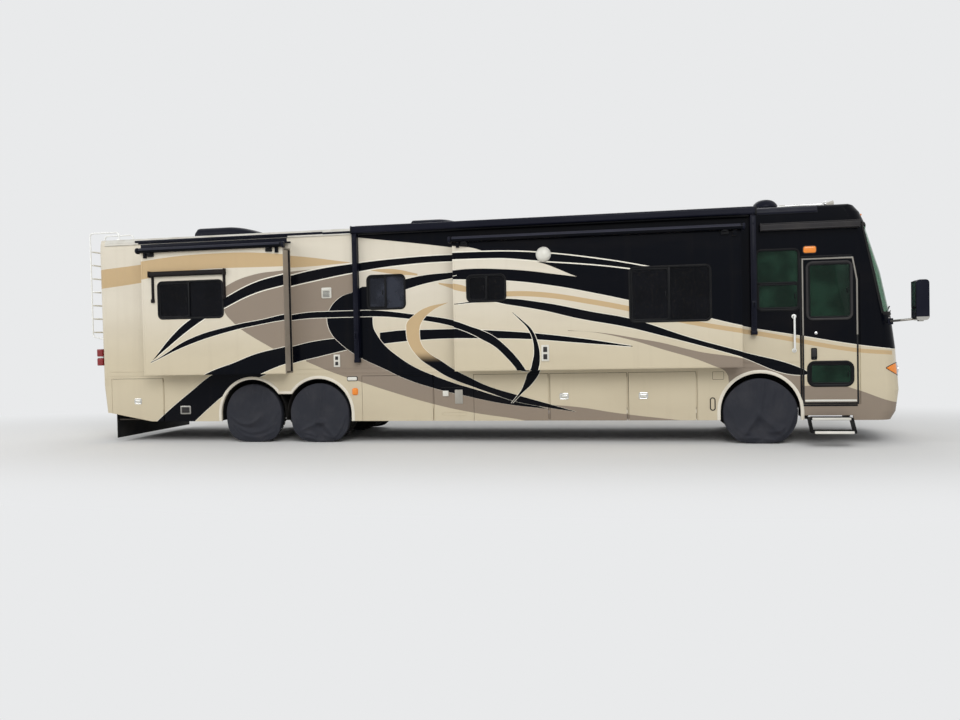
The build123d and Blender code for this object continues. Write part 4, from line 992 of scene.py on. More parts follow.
def rounded_line(points: list[Vector], bend: float) -> list[Vector]:
    """Points of a line with its corners rounded.

    Args:
        points: the corners.
        bend: radius of the rounding.

    Returns:
        The finer line.
    """
    if bend <= 0 or len(points) < 3:
        return points
    line = [points[0]]
    for before, corner, after in zip(points, points[1:], points[2:]):
        back, ahead = (before - corner), (after - corner)
        turn = back.angle(ahead)
        reach = min(bend / math.tan(turn / 2), back.length * 0.48, ahead.length * 0.48)
        start, end = corner + back.normalized() * reach, corner + ahead.normalized() * reach
        for k in range(9):
            t = k / 8
            line.append(start * (1 - t) ** 2 + corner * 2 * t * (1 - t) + end * t ** 2)
    line.append(points[-1])
    return line


def rounded_box(x: Span, z: Span, corner: float, facets: int) -> list[Point]:
    """Outline of a rectangle with round corners, anticlockwise from its low right corner."""
    outline = []
    for number, (px, pz) in enumerate(((x[1] - corner, z[0] + corner), (x[1] - corner, z[1] - corner),
                                       (x[0] + corner, z[1] - corner), (x[0] + corner, z[0] + corner))):
        for k in range(facets + 1):
            angle = math.radians(-90 + 90 * number + 90 * k / facets)
            outline.append((px + corner * math.cos(angle), pz + corner * math.sin(angle)))
    return outline


@dataclass
class Repeat:
    """Geometry Nodes tree that repeats a piece in a row or round an axis.

    Args:
        name: the tree's name.
    """

    name: str = "repeat_piece"

    def tree(self) -> bpy.types.GeometryNodeTree:
        """The tree, built once.

        Returns:
            The node tree.
        """
        found = bpy.data.node_groups.get(self.name)
        if found:
            return found
        tree = bpy.data.node_groups.new(self.name, "GeometryNodeTree")
        face = tree.interface
        face.new_socket("Geometry", in_out="INPUT", socket_type="NodeSocketGeometry")
        for label, kind in (("Count", "NodeSocketInt"), ("Start", "NodeSocketVector"), ("Step", "NodeSocketVector"),
                            ("Turn", "NodeSocketVector"), ("Finish", "NodeSocketMaterial")):
            face.new_socket(label, in_out="INPUT", socket_type=kind)
        face.new_socket("Geometry", in_out="OUTPUT", socket_type="NodeSocketGeometry")
        new = tree.nodes.new
        given, result = new("NodeGroupInput"), new("NodeGroupOutput")
        line, spread, index = new("GeometryNodeMeshLine"), new("GeometryNodeInstanceOnPoints"), new("GeometryNodeInputIndex")
        turned, solid, paint = new("ShaderNodeVectorMath"), new("GeometryNodeRealizeInstances"), new("GeometryNodeSetMaterial")
        turned.operation = "SCALE"
        for source, target in (
                (given.outputs["Count"], line.inputs["Count"]), (given.outputs["Start"], line.inputs["Start Location"]),
                (given.outputs["Step"], line.inputs["Offset"]), (line.outputs[0], spread.inputs["Points"]),
                (given.outputs["Geometry"], spread.inputs["Instance"]), (given.outputs["Turn"], turned.inputs[0]),
                (index.outputs[0], turned.inputs["Scale"]), (turned.outputs[0], spread.inputs["Rotation"]),
                (spread.outputs[0], solid.inputs[0]), (solid.outputs[0], paint.inputs["Geometry"]),
                (given.outputs["Finish"], paint.inputs["Material"]), (paint.outputs[0], result.inputs[0])):
            tree.links.new(source, target)
        return tree

    def lay(self, form: Form, name: str, finish: object, body: str, count: int, start: Point3,
            step: Point3 = (0, 0, 0), turn: Point3 = (0, 0, 0), smooth: float = 40.0) -> bpy.types.Object:
        """Repeats one form and turns the result into a plain mesh.

        Args:
            form: one piece, about its own zero point.
            name: the piece's name.
            finish: its finish.
            body: the body that it rides on.
            count: how many.
            start: where the first one goes, in the coach's frame.
            step: from one to the next.
            turn: rotation from one to the next, in radians.
            smooth: shading angle in degrees.

        Returns:
            The object.
        """
        piece = form.make(name, finish, smooth, shift=False)
        modifier = piece.modifiers.new("repeat", "NODES")
        modifier.node_group = self.tree()
        values = {"Count": count, "Start": (start[0] + SHIFT, start[1], start[2]), "Step": step, "Turn": turn,
                  "Finish": finish.make()}
        for item in modifier.node_group.interface.items_tree:
            if item.in_out == "INPUT" and item.name in values:
                modifier[item.identifier] = values[item.name]
        baked = bpy.data.meshes.new_from_object(piece.evaluated_get(bpy.context.evaluated_depsgraph_get()))
        piece.modifiers.clear()
        piece.data = baked
        baked.name = name
        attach(piece, body)
        LOG.info("row %s of %d on %s", name, count, body)
        return piece


REPEAT = Repeat()


def inset_outline(points: Sequence[Point], depth: float) -> list[Point]:
    """Moves each side of a closed outline inwards.

    Args:
        points: its corners, anticlockwise.
        depth: how far, negative for outwards.

    Returns:
        The new corners.
    """
    moved = []
    count = len(points)
    for k in range(count):
        before, here, after = (Vector(points[(k + step) % count]) for step in (-1, 0, 1))
        first, second = (here - before).normalized(), (after - here).normalized()
        normals = [Vector((-line.y, line.x)) for line in (first, second)]
        middle = (normals[0] + normals[1]).normalized()
        moved.append(tuple(here + middle * (depth / max(middle.dot(normals[0]), 0.3))))
    return moved


def border(form: Form, points: Sequence[Point], section: Sequence[Point], side: int) -> Form:
    """Adds a closed moulding along an angular outline in x and z.

    Args:
        form: the form it is added to.
        points: the outline's corners, anticlockwise.
        section: distance in from the outline and distance off the coach's middle, in order.
        side: -1 right, 1 left.

    Returns:
        The form.
    """
    loops = [[Vector((x, side * off, z)) for x, z in inset_outline(points, inset)] for inset, off in section]
    return form.rows(loops, closed=True)


@dataclass(frozen=True)
class Window:
    """A framed window.

    Args:
        name: the window's name.
        body: the body that it rides on.
        side: -1 right, 1 left.
        x: ends of its opening along the coach.
        z: ends of its opening in height.
        face: outer face of its wall, off the coach's middle.
        bars: places of upright bars.
        rail: height of a level bar, 0 for none.
        trim: finish of its frame.
    """

    name: str
    body: str
    side: int
    x: Span
    z: Span
    face: float
    bars: tuple[float, ...]
    rail: float
    trim: Finish
    corner: float = 0.085
    lap: float = 0.014

    def build(self) -> None:
        """Makes the frame, its gasket, the sliding sash and its bars."""
        outer_x = (self.x[0] - self.lap, self.x[1] + self.lap)
        outer_z = (self.z[0] - self.lap, self.z[1] + self.lap)
        f, lap = self.face, self.lap
        frame = Form()
        frame.surround(outer_x, outer_z, self.corner,
                       ((0, f - 0.002), (0, f + 0.009), (0.006, f + 0.014), (lap - 0.002, f + 0.014), (lap + 0.004, f + 0.009),
                        (lap + 0.012, f + 0.007), (lap + 0.014, f - 0.009), (lap - 0.004, f - 0.009)), self.side)
        for bar in self.bars:
            frame.block((bar - 0.014, bar + 0.014), (self.side * (f - 0.009), self.side * (f + 0.011)),
                        (self.z[0] + 0.004, self.z[1] - 0.004), 0.004)
        if self.rail:
            frame.block((self.x[0] + 0.004, self.x[1] - 0.004), (self.side * (f - 0.009), self.side * (f + 0.006)),
                        (self.rail - 0.012, self.rail + 0.012), 0.003)
        frame.place(f"{self.name}_window_frame", self.trim, self.body)
        sash = Form()
        edge = self.bars[0] if self.bars else self.x[1]
        sash_z = (self.z[0], self.rail) if self.rail else self.z
        sash.surround((self.x[0] + 0.015, edge), (sash_z[0] + 0.015, sash_z[1] - 0.015), 0.05,
                      ((0, f - 0.0095), (0, f - 0.002), (0.004, f), (0.018, f), (0.022, f - 0.003), (0.022, f - 0.0095)),
                      self.side)
        sash.block((edge - 0.06, edge - 0.045), (self.side * (f - 0.004), self.side * (f + 0.004)),
                   (sum(sash_z) / 2 - 0.04, sum(sash_z) / 2 + 0.04), 0.003)
        sash.place(f"{self.name}_window_sash", TRIM_BLACK, self.body)
        gasket = Form()
        gasket.surround((outer_x[0] - 0.006, outer_x[1] + 0.006), (outer_z[0] - 0.006, outer_z[1] + 0.006),
                        self.corner + 0.006, ((0, f - 0.002), (0.001, f + 0.004), (0.005, f + 0.005), (0.008, f + 0.003),
                                              (0.009, f - 0.002)), self.side)
        gasket.place(f"{self.name}_window_gasket", FLAP_RUBBER, self.body)


ROOM = 1.58
WINDOWS = (
    Window("bedroom", "slide_bedroom_body", -1, (-5.09, -3.91), (2.13, 2.74), ROOM, (-4.52,), 0, TRIM_BLACK),
    Window("living_small", "slide_living_body", -1, (0.26, 0.86), (2.26, 2.66), ROOM, (0.567,), 0, TRIM_BLACK),
    Window("living_large", "slide_living_body", -1, (2.77, 3.94), (1.88, 2.69), ROOM, (3.346,), 0, TRIM_BLACK),
    Window("hall", "coach", -1, (-1.48, -0.85), (2.20, 2.74), HALF_WIDTH, (-1.17,), 0, TRIM_BLACK),
    Window("cab_right", "coach", -1, (4.63, 5.23), (2.01, 2.90), HALF_WIDTH, (), 2.41, TRIM_BLACK),
    Window("cab_left", "coach", 1, (4.63, 5.23), (2.01, 2.90), HALF_WIDTH, (), 2.41, TRIM_BLACK),
    Window("bath", "coach", 1, (-4.90, -3.90), (2.20, 2.74), HALF_WIDTH, (-4.40,), 0, TRIM_BLACK),
    Window("kitchen", "slide_driver_side_body", 1, (-1.40, -0.60), (2.15, 2.70), ROOM, (-1.0,), 0, GREY_CASE),
    Window("lounge", "slide_driver_side_body", 1, (2.30, 3.50), (1.88, 2.69), ROOM, (2.90,), 0, GREY_CASE),
    Window("entry", "entry_door_body", -1, (5.35, 5.96), (1.86, 2.69), HALF_WIDTH, (), 0, GREY_CASE, 0.09, 0.018),
    Window("entry_low", "entry_door_body", -1, (5.36, 5.96), (0.88, 1.21), HALF_WIDTH, (), 0, TRIM_BLACK, 0.11, 0.024),
)


@dataclass
class Toppers:
    """Roller covers of the slide-out rooms: cloth, end caps, brackets and wall rail."""

    roller_off: float = 1.627
    roller_r: float = 0.042
    cloth: float = 0.0012
    wall_off: float = 1.297
    columns: int = 64

    def one(self, name: str, side: int, x: Span, top: float) -> None:
        """Covers one room.

        Args:
            name: the room's name.
            side: -1 right, 1 left.
            x: the room's ends along the coach.
            top: height of the room's top.
        """
        body = f"{name}_body"
        centre = top + 0.067
        rail_z = centre + 0.075
        ends = (x[0] - 0.02, x[1] + 0.02)
        sheet = Form()
        loops = []
        for k in range(self.columns + 1):
            share = k / self.columns
            px = ends[0] + (ends[1] - ends[0]) * share
            wave = 0.0022 * math.sin(share * 41) + 0.0016 * math.sin(share * 97 + 1)
            upper, lower = [], []
            line = [(self.wall_off, rail_z)]
            for step in range(1, 8):
                t = step / 8
                sag = (0.010 + wave) * math.sin(math.pi * t)
                line.append((self.wall_off + (self.roller_off - self.wall_off) * t,
                             rail_z + (centre + self.roller_r + 0.002 - rail_z) * t - sag))
            for angle in (90, 68, 46, 24, 2):
                bend = math.radians(angle)
                line.append((self.roller_off + (self.roller_r + 0.002) * math.cos(bend),
                             centre + (self.roller_r + 0.002) * math.sin(bend)))
            for number, (off, z) in enumerate(line):
                ahead = Vector(line[min(number + 1, len(line) - 1)]) - Vector(line[max(number - 1, 0)])
                lift = Vector((-ahead.y, ahead.x)).normalized() * self.cloth
                upper.append(Vector((px, side * (off + lift.x), z + lift.y)))
                lower.append(Vector((px, side * off, z)))
            loops.append(upper + lower[::-1])
        sheet.rows(loops)
        cover = sheet.make(f"{name}_topper_cloth", TOPPER_CLOTH)
        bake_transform(cover)
        LOG.info("sheet %s", cover.name)
        rail = Form()
        rail.block((ends[0] - 0.03, ends[1] + 0.03), (side * 1.279, side * 1.304), (rail_z - 0.016, rail_z + 0.010), 0.004)
        rail.place(f"{name}_topper_rail", NAVY_CASE, "coach")
        if name == "slide_bedroom":
            flashing = Form().block((ends[0] - 0.20, ends[1] - 0.04), (-1.279, -1.288), (rail_z + 0.006, 3.439), 0.003)
            flashing.place("slide_bedroom_flashing", NAVY_CASE, "coach")
        caps = Form()
        for px, way in ((x[0] - 0.06, -1), (x[1] + 0.06, 1)):
            caps.lathe(((0.001, 0), (0.047, 0), (0.050, 0.004), (0.050, 0.030), (0.044, 0.038), (0.020, 0.040), (0.001, 0.040)),
                       (px - way * 0.012, side * self.roller_off, centre), (way, 0, 0), 28)
            caps.block(sorted((px - way * 0.016, px + way * 0.018)), (side * 1.574, side * (self.roller_off + 0.006)),
                       (centre - 0.052, centre - 0.012), 0.006)
        caps.place(f"{name}_topper_caps", NAVY_CASE, body)
        feet = Form()
        for px in (x[0] + 0.16, x[1] - 0.20):
            feet.block((px - 0.055, px + 0.055), (side * 1.578, side * 1.618), (centre - 0.105, centre - 0.035), 0.008)
            feet.block((px - 0.035, px + 0.035), (side * 1.60, side * 1.660), (centre - 0.060, centre - 0.040), 0.006)
        feet.place(f"{name}_topper_brackets", TRIM_BLACK, body)

    def build(self) -> None:
        """Covers the three rooms."""
        self.one("slide_bedroom", -1, (-5.365, -2.855), 3.215)
        self.one("slide_living", -1, (0.065, 4.355), 3.165)
        self.one("slide_driver_side", 1, (-1.90, 3.90), 3.165)


@dataclass
class RoomTrim:
    """Seals, corner strips and the window awning of the slide-out rooms."""

    face: float = 1.58

    def seals(self, name: str, side: int, x: Span, z: Span) -> None:
        """Wiper seal round a room's opening, and the wall's flange."""
        f = HALF_WIDTH
        seal = Form()
        seal.surround((x[0] - 0.034, x[1] + 0.034), (z[0] - 0.034, z[1] + 0.034), 0.012,
                      ((0, f - 0.001), (0.003, f + 0.003), (0.010, f + 0.0035), (0.022, f + 0.003), (0.026, f - 0.001)),
                      side, 2)
        seal.place(f"{name}_seal", ROOM_SEAL, "coach")
        flange = Form()
        flange.surround((x[0] - 0.060, x[1] + 0.060), (z[0] - 0.060, z[1] + 0.060), 0.014,
                        ((0, f - 0.001), (0.001, f + 0.005), (0.022, f + 0.006), (0.025, f - 0.001)), side, 2)
        flange.place(f"{name}_flange", BODY_COAT, "coach")
        lip = Form()
        lip.surround((x[0] - 0.036, x[1] + 0.036), (z[0] - 0.036, z[1] + 0.036), 0.012,
                     ((0, self.face - 0.012), (0, self.face + 0.001), (0.003, self.face + 0.003), (0.030, self.face + 0.003),
                      (0.033, self.face - 0.001), (0.020, self.face - 0.002)), side, 2)
        lip.place(f"{name}_edge_strip", ROOM_COAT, f"{name}_body")

    def window_awning(self) -> None:
        """Rolled awning over the bedroom window with its two folded arms."""
        case = Form()
        f = self.face
        loops = []
        for px in (-5.23, -3.84):
            loops.append([Vector((px, -(f + off), z)) for off, z in
                          ((-0.001, 2.835), (0.040, 2.832), (0.066, 2.850), (0.072, 2.880), (0.062, 2.908), (0.040, 2.922),
                           (-0.001, 2.924))])
        case.rows(loops)
        for px in (-5.225, -3.845):
            case.block((px - 0.012, px + 0.012), (-(f - 0.001), -(f + 0.078)), (2.826, 2.930), 0.006)
        case.place("window_awning_case", AWNING_BROWN, "slide_bedroom_body")
        arms = Form()
        for low, px in ((2.41, -5.185), (2.44, -3.87)):
            arms.block((px - 0.024, px + 0.024), (-(f - 0.001), -(f + 0.016)), (low, 2.84), 0.005)
            arms.block((px - 0.014, px + 0.014), (-(f + 0.012), -(f + 0.030)), (low + 0.02, 2.86), 0.005)
            arms.block((px - 0.030, px + 0.030), (-(f - 0.001), -(f + 0.034)), (low - 0.012, low + 0.05), 0.008)
            arms.lathe(((0.001, 0), (0.013, 0), (0.013, 0.007), (0.001, 0.008)), (px, -(f + 0.033), low + 0.02),
                       (0, -1, 0), 16)
        arms.place("window_awning_arms", AWNING_BROWN, "slide_bedroom_body")

    def build(self) -> None:
        """Dresses the three rooms."""
        edge = Form().block((-2.857, -2.828), (-1.279, -1.297), (1.20, 3.22), 0.004)
        edge.place("slide_bedroom_front_edge", TRIM_BLACK, "coach")
        for name, side, x, z in (("slide_bedroom", -1, (-5.365, -2.855), (1.205, 3.215)),
                                 ("slide_living", -1, (0.065, 4.355), (1.205, 3.165)),
                                 ("slide_driver_side", 1, (-1.90, 3.90), (1.205, 3.165))):
            self.seals(name, side, x, z)
        self.window_awning()


@dataclass
class Awnings:
    """Details on the patio awning and the door awning."""

    arms: tuple[Point, ...] = ((-1.66, 1.33), (4.58, 1.65))
    arm_face: float = 1.38

    def build(self) -> None:
        """Makes end caps, arm channels, joints, feet and the cloth roll."""
        caps = Form()
        for px in (-1.70, 4.62):
            caps.block((px - 0.014, px + 0.014), (-1.288, -1.418), (3.424, 3.556), 0.014, 3)
        caps.place("patio_awning_caps", TRIM_BLACK, "coach")
        channels, joints = Form(), Form()
        for px, low in self.arms:
            f = self.arm_face
            channels.block((px - 0.024, px + 0.024), (-(f - 0.001), -(f + 0.007)), (low + 0.10, 3.40), 0.003)
            channels.block((px - 0.010, px + 0.010), (-(f + 0.005), -(f + 0.012)), (low + 0.14, 3.36), 0.002)
            for z in (low + 0.42, low + 0.46, 3.30):
                joints.lathe(((0.001, 0), (0.017, 0), (0.017, 0.010), (0.012, 0.014), (0.001, 0.014)),
                             (px, -(f + 0.004), z), (0, -1, 0), 16)
            joints.block((px - 0.046, px + 0.046), (-1.279, -1.386), (low - 0.006, low + 0.052), 0.008)
            joints.block((px - 0.034, px + 0.034), (-(f - 0.01), -(f + 0.018)), (low + 0.38, low + 0.50), 0.008)
        channels.place("patio_awning_channels", NAVY_CASE, "coach")
        joints.place("patio_awning_joints", NAVY_CASE, "coach")
        hem = Form()
        hem.tube(((-1.60, -1.352, 3.424), (4.52, -1.352, 3.424)), 0.017, sides=14)
        hem.place("patio_awning_hem", TRIM_BLACK, "coach")
        rail = Form()
        rail.block((-1.66, 4.58), (-1.279, -1.300), (3.552, 3.566), 0.004)
        rail.place("patio_awning_rail", NAVY_CASE, "coach")
        door = Form()
        for px in (4.69, 6.06):
            door.block((px - 0.010, px + 0.010), (-1.279, -1.396), (3.174, 3.296), 0.012, 3)
        door.block((4.70, 6.05), (-1.384, -1.394), (3.186, 3.206), 0.004)
        door.block((4.70, 6.05), (-1.372, -1.391), (3.276, 3.288), 0.004)
        door.place("door_awning_trim", GREY_CASE, "coach")


@dataclass
class WheelWells:
    """Black wells behind the arches, their inner walls a dark sheet that stands in for shade, and the arches' lips."""

    half_long: float = 0.583
    half_high: float = 0.574
    outer: float = 1.232
    inner: float = 0.60
    wall: float = 0.004
    steps: int = 28

    def well(self, form: Form, axle: float, side: int) -> None:
        """Adds one well over an axle end. The front ones are wider, for the steered wheels.

        Args:
            form: the form it is added to.
            axle: the axle's place along the coach.
            side: -1 right, 1 left.
        """
        loops = []
        half_long, half_high = (0.650, 0.600) if axle > 0 else (self.half_long, self.half_high)
        for k in range(self.steps + 1):
            angle = math.pi * k / self.steps
            ray = (math.cos(angle), math.sin(angle))
            # the liner runs in from the outer face; its inner wall at self.inner is a black sheet put there as painted
            # shade, standing in for the dark chassis deep in the well
            section = ((1.0, self.outer), (1.0, self.inner), (0.62, self.inner), (0.62, self.inner + self.wall),
                       (0.992, self.inner + self.wall), (0.992, self.outer))
            loops.append([Vector((axle + ray[0] * half_long * r, side * off, AXLE_Z + ray[1] * half_high * r))
                          for r, off in section])
        form.rows(loops)
        for way in (-1, 1):
            form.block((axle + way * half_long - 0.003, axle + way * half_long + 0.001),
                       (side * self.inner, side * self.outer), (0.37, AXLE_Z + 0.004))

    def lip(self, form: Form, path: Sequence[Point], side: int) -> None:
        """Adds a rolled lip along an arch.

        Args:
            form: the form it is added to.
            path: the arch's edge in x and z.
            side: -1 right, 1 left.
        """
        section = ((-0.003, 1.262), (-0.003, 1.288), (0.006, 1.293), (0.036, 1.291), (0.046, 1.284), (0.047, 1.2795))
        loops = []
        for k, point in enumerate(path):
            ahead = (Vector(path[min(k + 1, len(path) - 1)]) - Vector(path[max(k - 1, 0)])).normalized()
            out = Vector((ahead.y, -ahead.x))
            loops.append([Vector((point[0] + out.x * d, side * off, point[1] + out.y * d)) for d, off in section])
        form.rows(loops)

    def arc(self, axle: float, start: float, end: float) -> list[Point]:
        """Points of an arch's edge, from one angle to another in degrees."""
        radius = 0.58
        steps = 24
        return [(axle + radius * math.cos(math.radians(start + (end - start) * k / steps)),
                 AXLE_Z + radius * math.sin(math.radians(start + (end - start) * k / steps))) for k in range(steps + 1)]

    def build(self) -> None:
        """Makes the wells and lips of both sides."""
        wells = Form()
        lips = Form()
        meet = math.degrees(math.asin((0.82 - AXLE_Z) / 0.58))
        for side in (-1, 1):
            for axle in AXLES:
                self.well(wells, axle, side)
            self.lip(lips, [(5.24, 0.362)] + self.arc(4.66, 0, 180)[::1] + [(4.08, 0.362)], side)
            self.lip(lips, [(-1.80, 0.362)] + self.arc(-2.38, 0, 180 - meet) + self.arc(-3.57, meet, 180)
                     + [(-4.15, 0.362)], side)
        wells.place("wheel_wells", FLAP_RUBBER, "coach")
        lips.place("arch_lips", ARCH_CREAM, "coach")


@dataclass
class SideTrim:
    """Rails, latches, outlets, vents and lamps on the sides."""

    wall: float = HALF_WIDTH

    def latch(self, name: str, body: str, side: int, x: float, z: float) -> None:
        """Recessed paddle latch of a baggage door."""
        f = self.wall
        plate = Form()
        plate.surround((x - 0.072, x + 0.072), (z - 0.052, z + 0.052), 0.026,
                       ((0, f - 0.001), (0.002, f + 0.006), (0.007, f + 0.008), (0.015, f + 0.004), (0.016, f - 0.001)), side)
        plate.surround((x - 0.050, x + 0.050), (z - 0.030, z + 0.022), 0.016,
                       ((0, f + 0.001), (0.001, f + 0.012), (0.006, f + 0.014), (0.011, f + 0.010), (0.012, f + 0.001)), side)
        plate.lathe(((0.001, 0), (0.010, 0), (0.010, 0.008), (0.007, 0.010), (0.001, 0.010)), (x, side * f, z + 0.036),
                    (0, side, 0), 16)
        plate.place(f"{name}_latch", CHROME, body)
        pan = Form()
        pan.pad((x - 0.060, x + 0.060), (z - 0.042, z + 0.042), 0.018, ((0, f - 0.001), (0.002, f + 0.002)), side)
        pan.place(f"{name}_latch_pan", WHITE_SHEET, body)

    def outlet(self, name: str, body: str, face: float, x: Span, z: Span) -> None:
        """Weatherproof double outlet plate."""
        plate, flaps = Form(), Form()
        plate.pad(x, z, 0.012, ((0, face - 0.001), (0.002, face + 0.010), (0.006, face + 0.013)), -1)
        plate.place(f"{name}_plate", WHITE_SHEET, body)
        middle = sum(z) / 2
        for low, high in ((z[0] + 0.030, middle - 0.016), (middle + 0.016, z[1] - 0.030)):
            flaps.pad((x[0] + 0.030, x[1] - 0.030), (low, high), 0.008,
                      ((0, face + 0.012), (0.001, face + 0.018), (0.008, face + 0.021)), -1)
        flaps.place(f"{name}_covers", GREY_CASE, body)

    def lamp(self, name: str, finish: Finish, side: int, x: Span, z: Span, base: Finish, deep: float = 0.028) -> None:
        """Marker lamp with its base."""
        f = self.wall
        corner = min(x[1] - x[0], z[1] - z[0]) * 0.3
        foot = Form()
        foot.pad((x[0] - 0.010, x[1] + 0.010), (z[0] - 0.010, z[1] + 0.010), corner + 0.008,
                 ((0, f - 0.001), (0.001, f + 0.007), (0.006, f + 0.010)), side)
        foot.place(f"{name}_base", base, "coach")
        lens = Form()
        lens.pad(x, z, corner, ((0, f + 0.002), (0, f + deep * 0.5), (0.006, f + deep * 0.85), (0.016, f + deep)), side)
        lens.place(name, finish, "coach")

    def rails(self) -> None:
        """Rub rails, gutter and dark roof-edge rail."""
        bands = Form()
        for side, spans in ((-1, ((-6.27, -5.43), (-2.78, 0.00), (4.42, 5.22))), (1, ((-6.27, -1.97), (3.97, 6.08)))):
            for x in spans:
                for z in (1.150, 1.228):
                    bands.block(x, (side * 1.2795, side * 1.2845), (z - 0.006, z + 0.006), 0.002)
        bands.place("rub_rails", BODY_COAT, "coach")
        pale, deep = Form(), Form()
        for form, side, span in ((pale, 1, (-6.27, 5.49)), (pale, -1, (-6.27, -5.62)), (deep, -1, (-5.62, -2.85)),
                                 (pale, -1, (-2.85, -1.72)), (deep, -1, (4.62, 5.49))):
            form.rows([[Vector((px, side * off, z)) for off, z in
                        ((1.289, 3.442), (1.304, 3.438), (1.306, 3.458), (1.302, 3.460), (1.301, 3.446), (1.289, 3.450))]
                       for px in span])
        pale.place("roof_gutter", ROOF_EDGE_WHITE, "coach")
        deep.place("roof_gutter_dark", NAVY_CASE, "coach")
        dark = Form()
        dark.block((-5.68, -2.23), (-1.286, -1.316), (3.462, 3.500), 0.008)
        dark.block((-2.23, -1.72), (-1.286, -1.312), (3.452, 3.490), 0.008)
        dark.place("roof_edge_rail", NAVY_CASE, "coach")

    def build(self) -> None:
        """Makes every fitting on the sides."""
        for name, side, x, z in (("baggage_door_right_1", -1, -5.725, 0.71), ("baggage_door_right_4", -1, 1.715, 0.742),
                                 ("baggage_door_right_5", -1, 2.938, 0.742), ("baggage_door_left_1", 1, -5.725, 0.71),
                                 ("baggage_door_left_2", 1, -0.49, 0.742), ("baggage_door_left_3", 1, 2.61, 0.742)):
            self.latch(name, f"{name}_body", side, x, z)
        self.outlet("hall_outlet", "coach", self.wall, (-2.097, -1.985), (1.256, 1.464))
        self.outlet("living_outlet", "slide_living_body", ROOM, (1.408, 1.530), (1.305, 1.558))
        self.rails()
        f = self.wall
        vent = Form()
        vent.pad((-2.278, -2.107), (2.40, 2.578), 0.018, ((0, f - 0.001), (0.002, f + 0.016), (0.012, f + 0.022)), -1)
        vent.block((-2.262, -2.123), (-(f + 0.018), -(f + 0.042)), (2.530, 2.562), 0.008)
        vent.place("hall_vent", WHITE_SHEET, "coach")
        slat = Form().block((-0.060, 0.060), (-0.010, 0.010), (-0.004, 0.004), 0.002)
        REPEAT.lay(slat, "hall_vent_slats", GREY_CASE, "coach", 5, (-2.1925, -(f + 0.020), 2.425), (0, 0, 0.021))
        for side in (-1, 1):
            tag = "right" if side < 0 else "left"
            self.lamp(f"cab_marker_{tag}", AMBER_LENS, side, (5.296, 5.477), (2.836, 2.936), GREY_CASE)
            self.lamp(f"arch_marker_{tag}", AMBER_LENS, side, (-1.778, -1.697), (0.796, 0.896), AMBER_LENS)
            self.lamp(f"docking_lamp_{tag}", WHITE_SHEET, side, (-1.862, -1.698), (1.030, 1.088), TRIM_BLACK, 0.020)
        porch = Form()
        porch.lathe(((0.001, -0.001), (0.112, -0.001), (0.112, 0.012), (0.106, 0.030), (0.088, 0.052), (0.058, 0.068),
                     (0.024, 0.076), (0.001, 0.077)), (1.467, -ROOM, 2.946), (0, -1, 0), 48)
        porch.place("porch_lamp", WHITE_SHEET, "slide_living_body", 60)
        rim = Form()
        rim.lathe(((0.110, 0.000), (0.117, 0.000), (0.117, 0.009), (0.110, 0.010)), (1.467, -ROOM, 2.946), (0, -1, 0), 48)
        rim.place("porch_lamp_ring", SILVER, "slide_living_body")
        port, cap = Form(), Form()
        port.surround((-4.915, -4.720), (0.483, 0.628), 0.020,
                      ((0, f - 0.001), (0.001, f + 0.010), (0.006, f + 0.013), (0.022, f + 0.012), (0.026, f + 0.002),
                       (0.026, f - 0.001)), -1)
        port.place("power_port_frame", SILVER, "coach")
        cap.pad((-4.889, -4.746), (0.509, 0.602), 0.012, ((0, f - 0.001), (0.002, f + 0.007), (0.010, f + 0.010)), -1)
        cap.place("power_port_lid", GREY_CASE, "coach")
        oval = Form()
        oval.surround((3.928, 4.012), (0.505, 0.708), 0.041,
                      ((0, f - 0.001), (0.001, f + 0.008), (0.005, f + 0.011), (0.013, f + 0.009), (0.016, f - 0.001)), -1)
        oval.place("filler_frame", TRIM_BLACK, "coach")
        lid = Form()
        lid.pad((3.942, 3.998), (0.519, 0.694), 0.026, ((0, f - 0.001), (0.002, f + 0.004), (0.010, f + 0.006)), -1)
        lid.place("filler_lid", BODY_COAT, "coach")
        flap = Form()
        flap.surround((3.970, 4.140), (0.976, 1.100), 0.012,
                      ((0, f - 0.0005), (0.001, f + 0.0025), (0.004, f + 0.003), (0.006, f - 0.0005)), -1)
        flap.place("fuel_flap_seam", STRIP_BROWN, "coach")
        box = Form()
        box.pad((-0.244, -0.150), (0.758, 0.848), 0.010, ((0, f - 0.001), (0.001, f + 0.020), (0.008, f + 0.025)), -1)
        box.place("service_box", WHITE_SHEET, "coach")
        plate = Form()
        plate.pad((-0.046, 0.083), (0.635, 0.862), 0.010, ((0, f - 0.001), (0.001, f + 0.007), (0.004, f + 0.009)), -1)
        plate.place("service_plate", PLATE_GREY, "coach")
        strip = Form()
        strip.block((-0.276, 0.090), (-(f - 0.001), -(f + 0.009)), (0.890, 0.906), 0.003)
        strip.place("service_strip", TRIM_BLACK, "coach")
        slot = Form()
        slot.surround((-0.268, 0.146), (0.438, 0.500), 0.028,
                      ((0, f - 0.0005), (0.001, f + 0.003), (0.004, f + 0.004), (0.008, f - 0.0005)), -1)
        slot.place("service_vent", BODY_COAT, "coach")


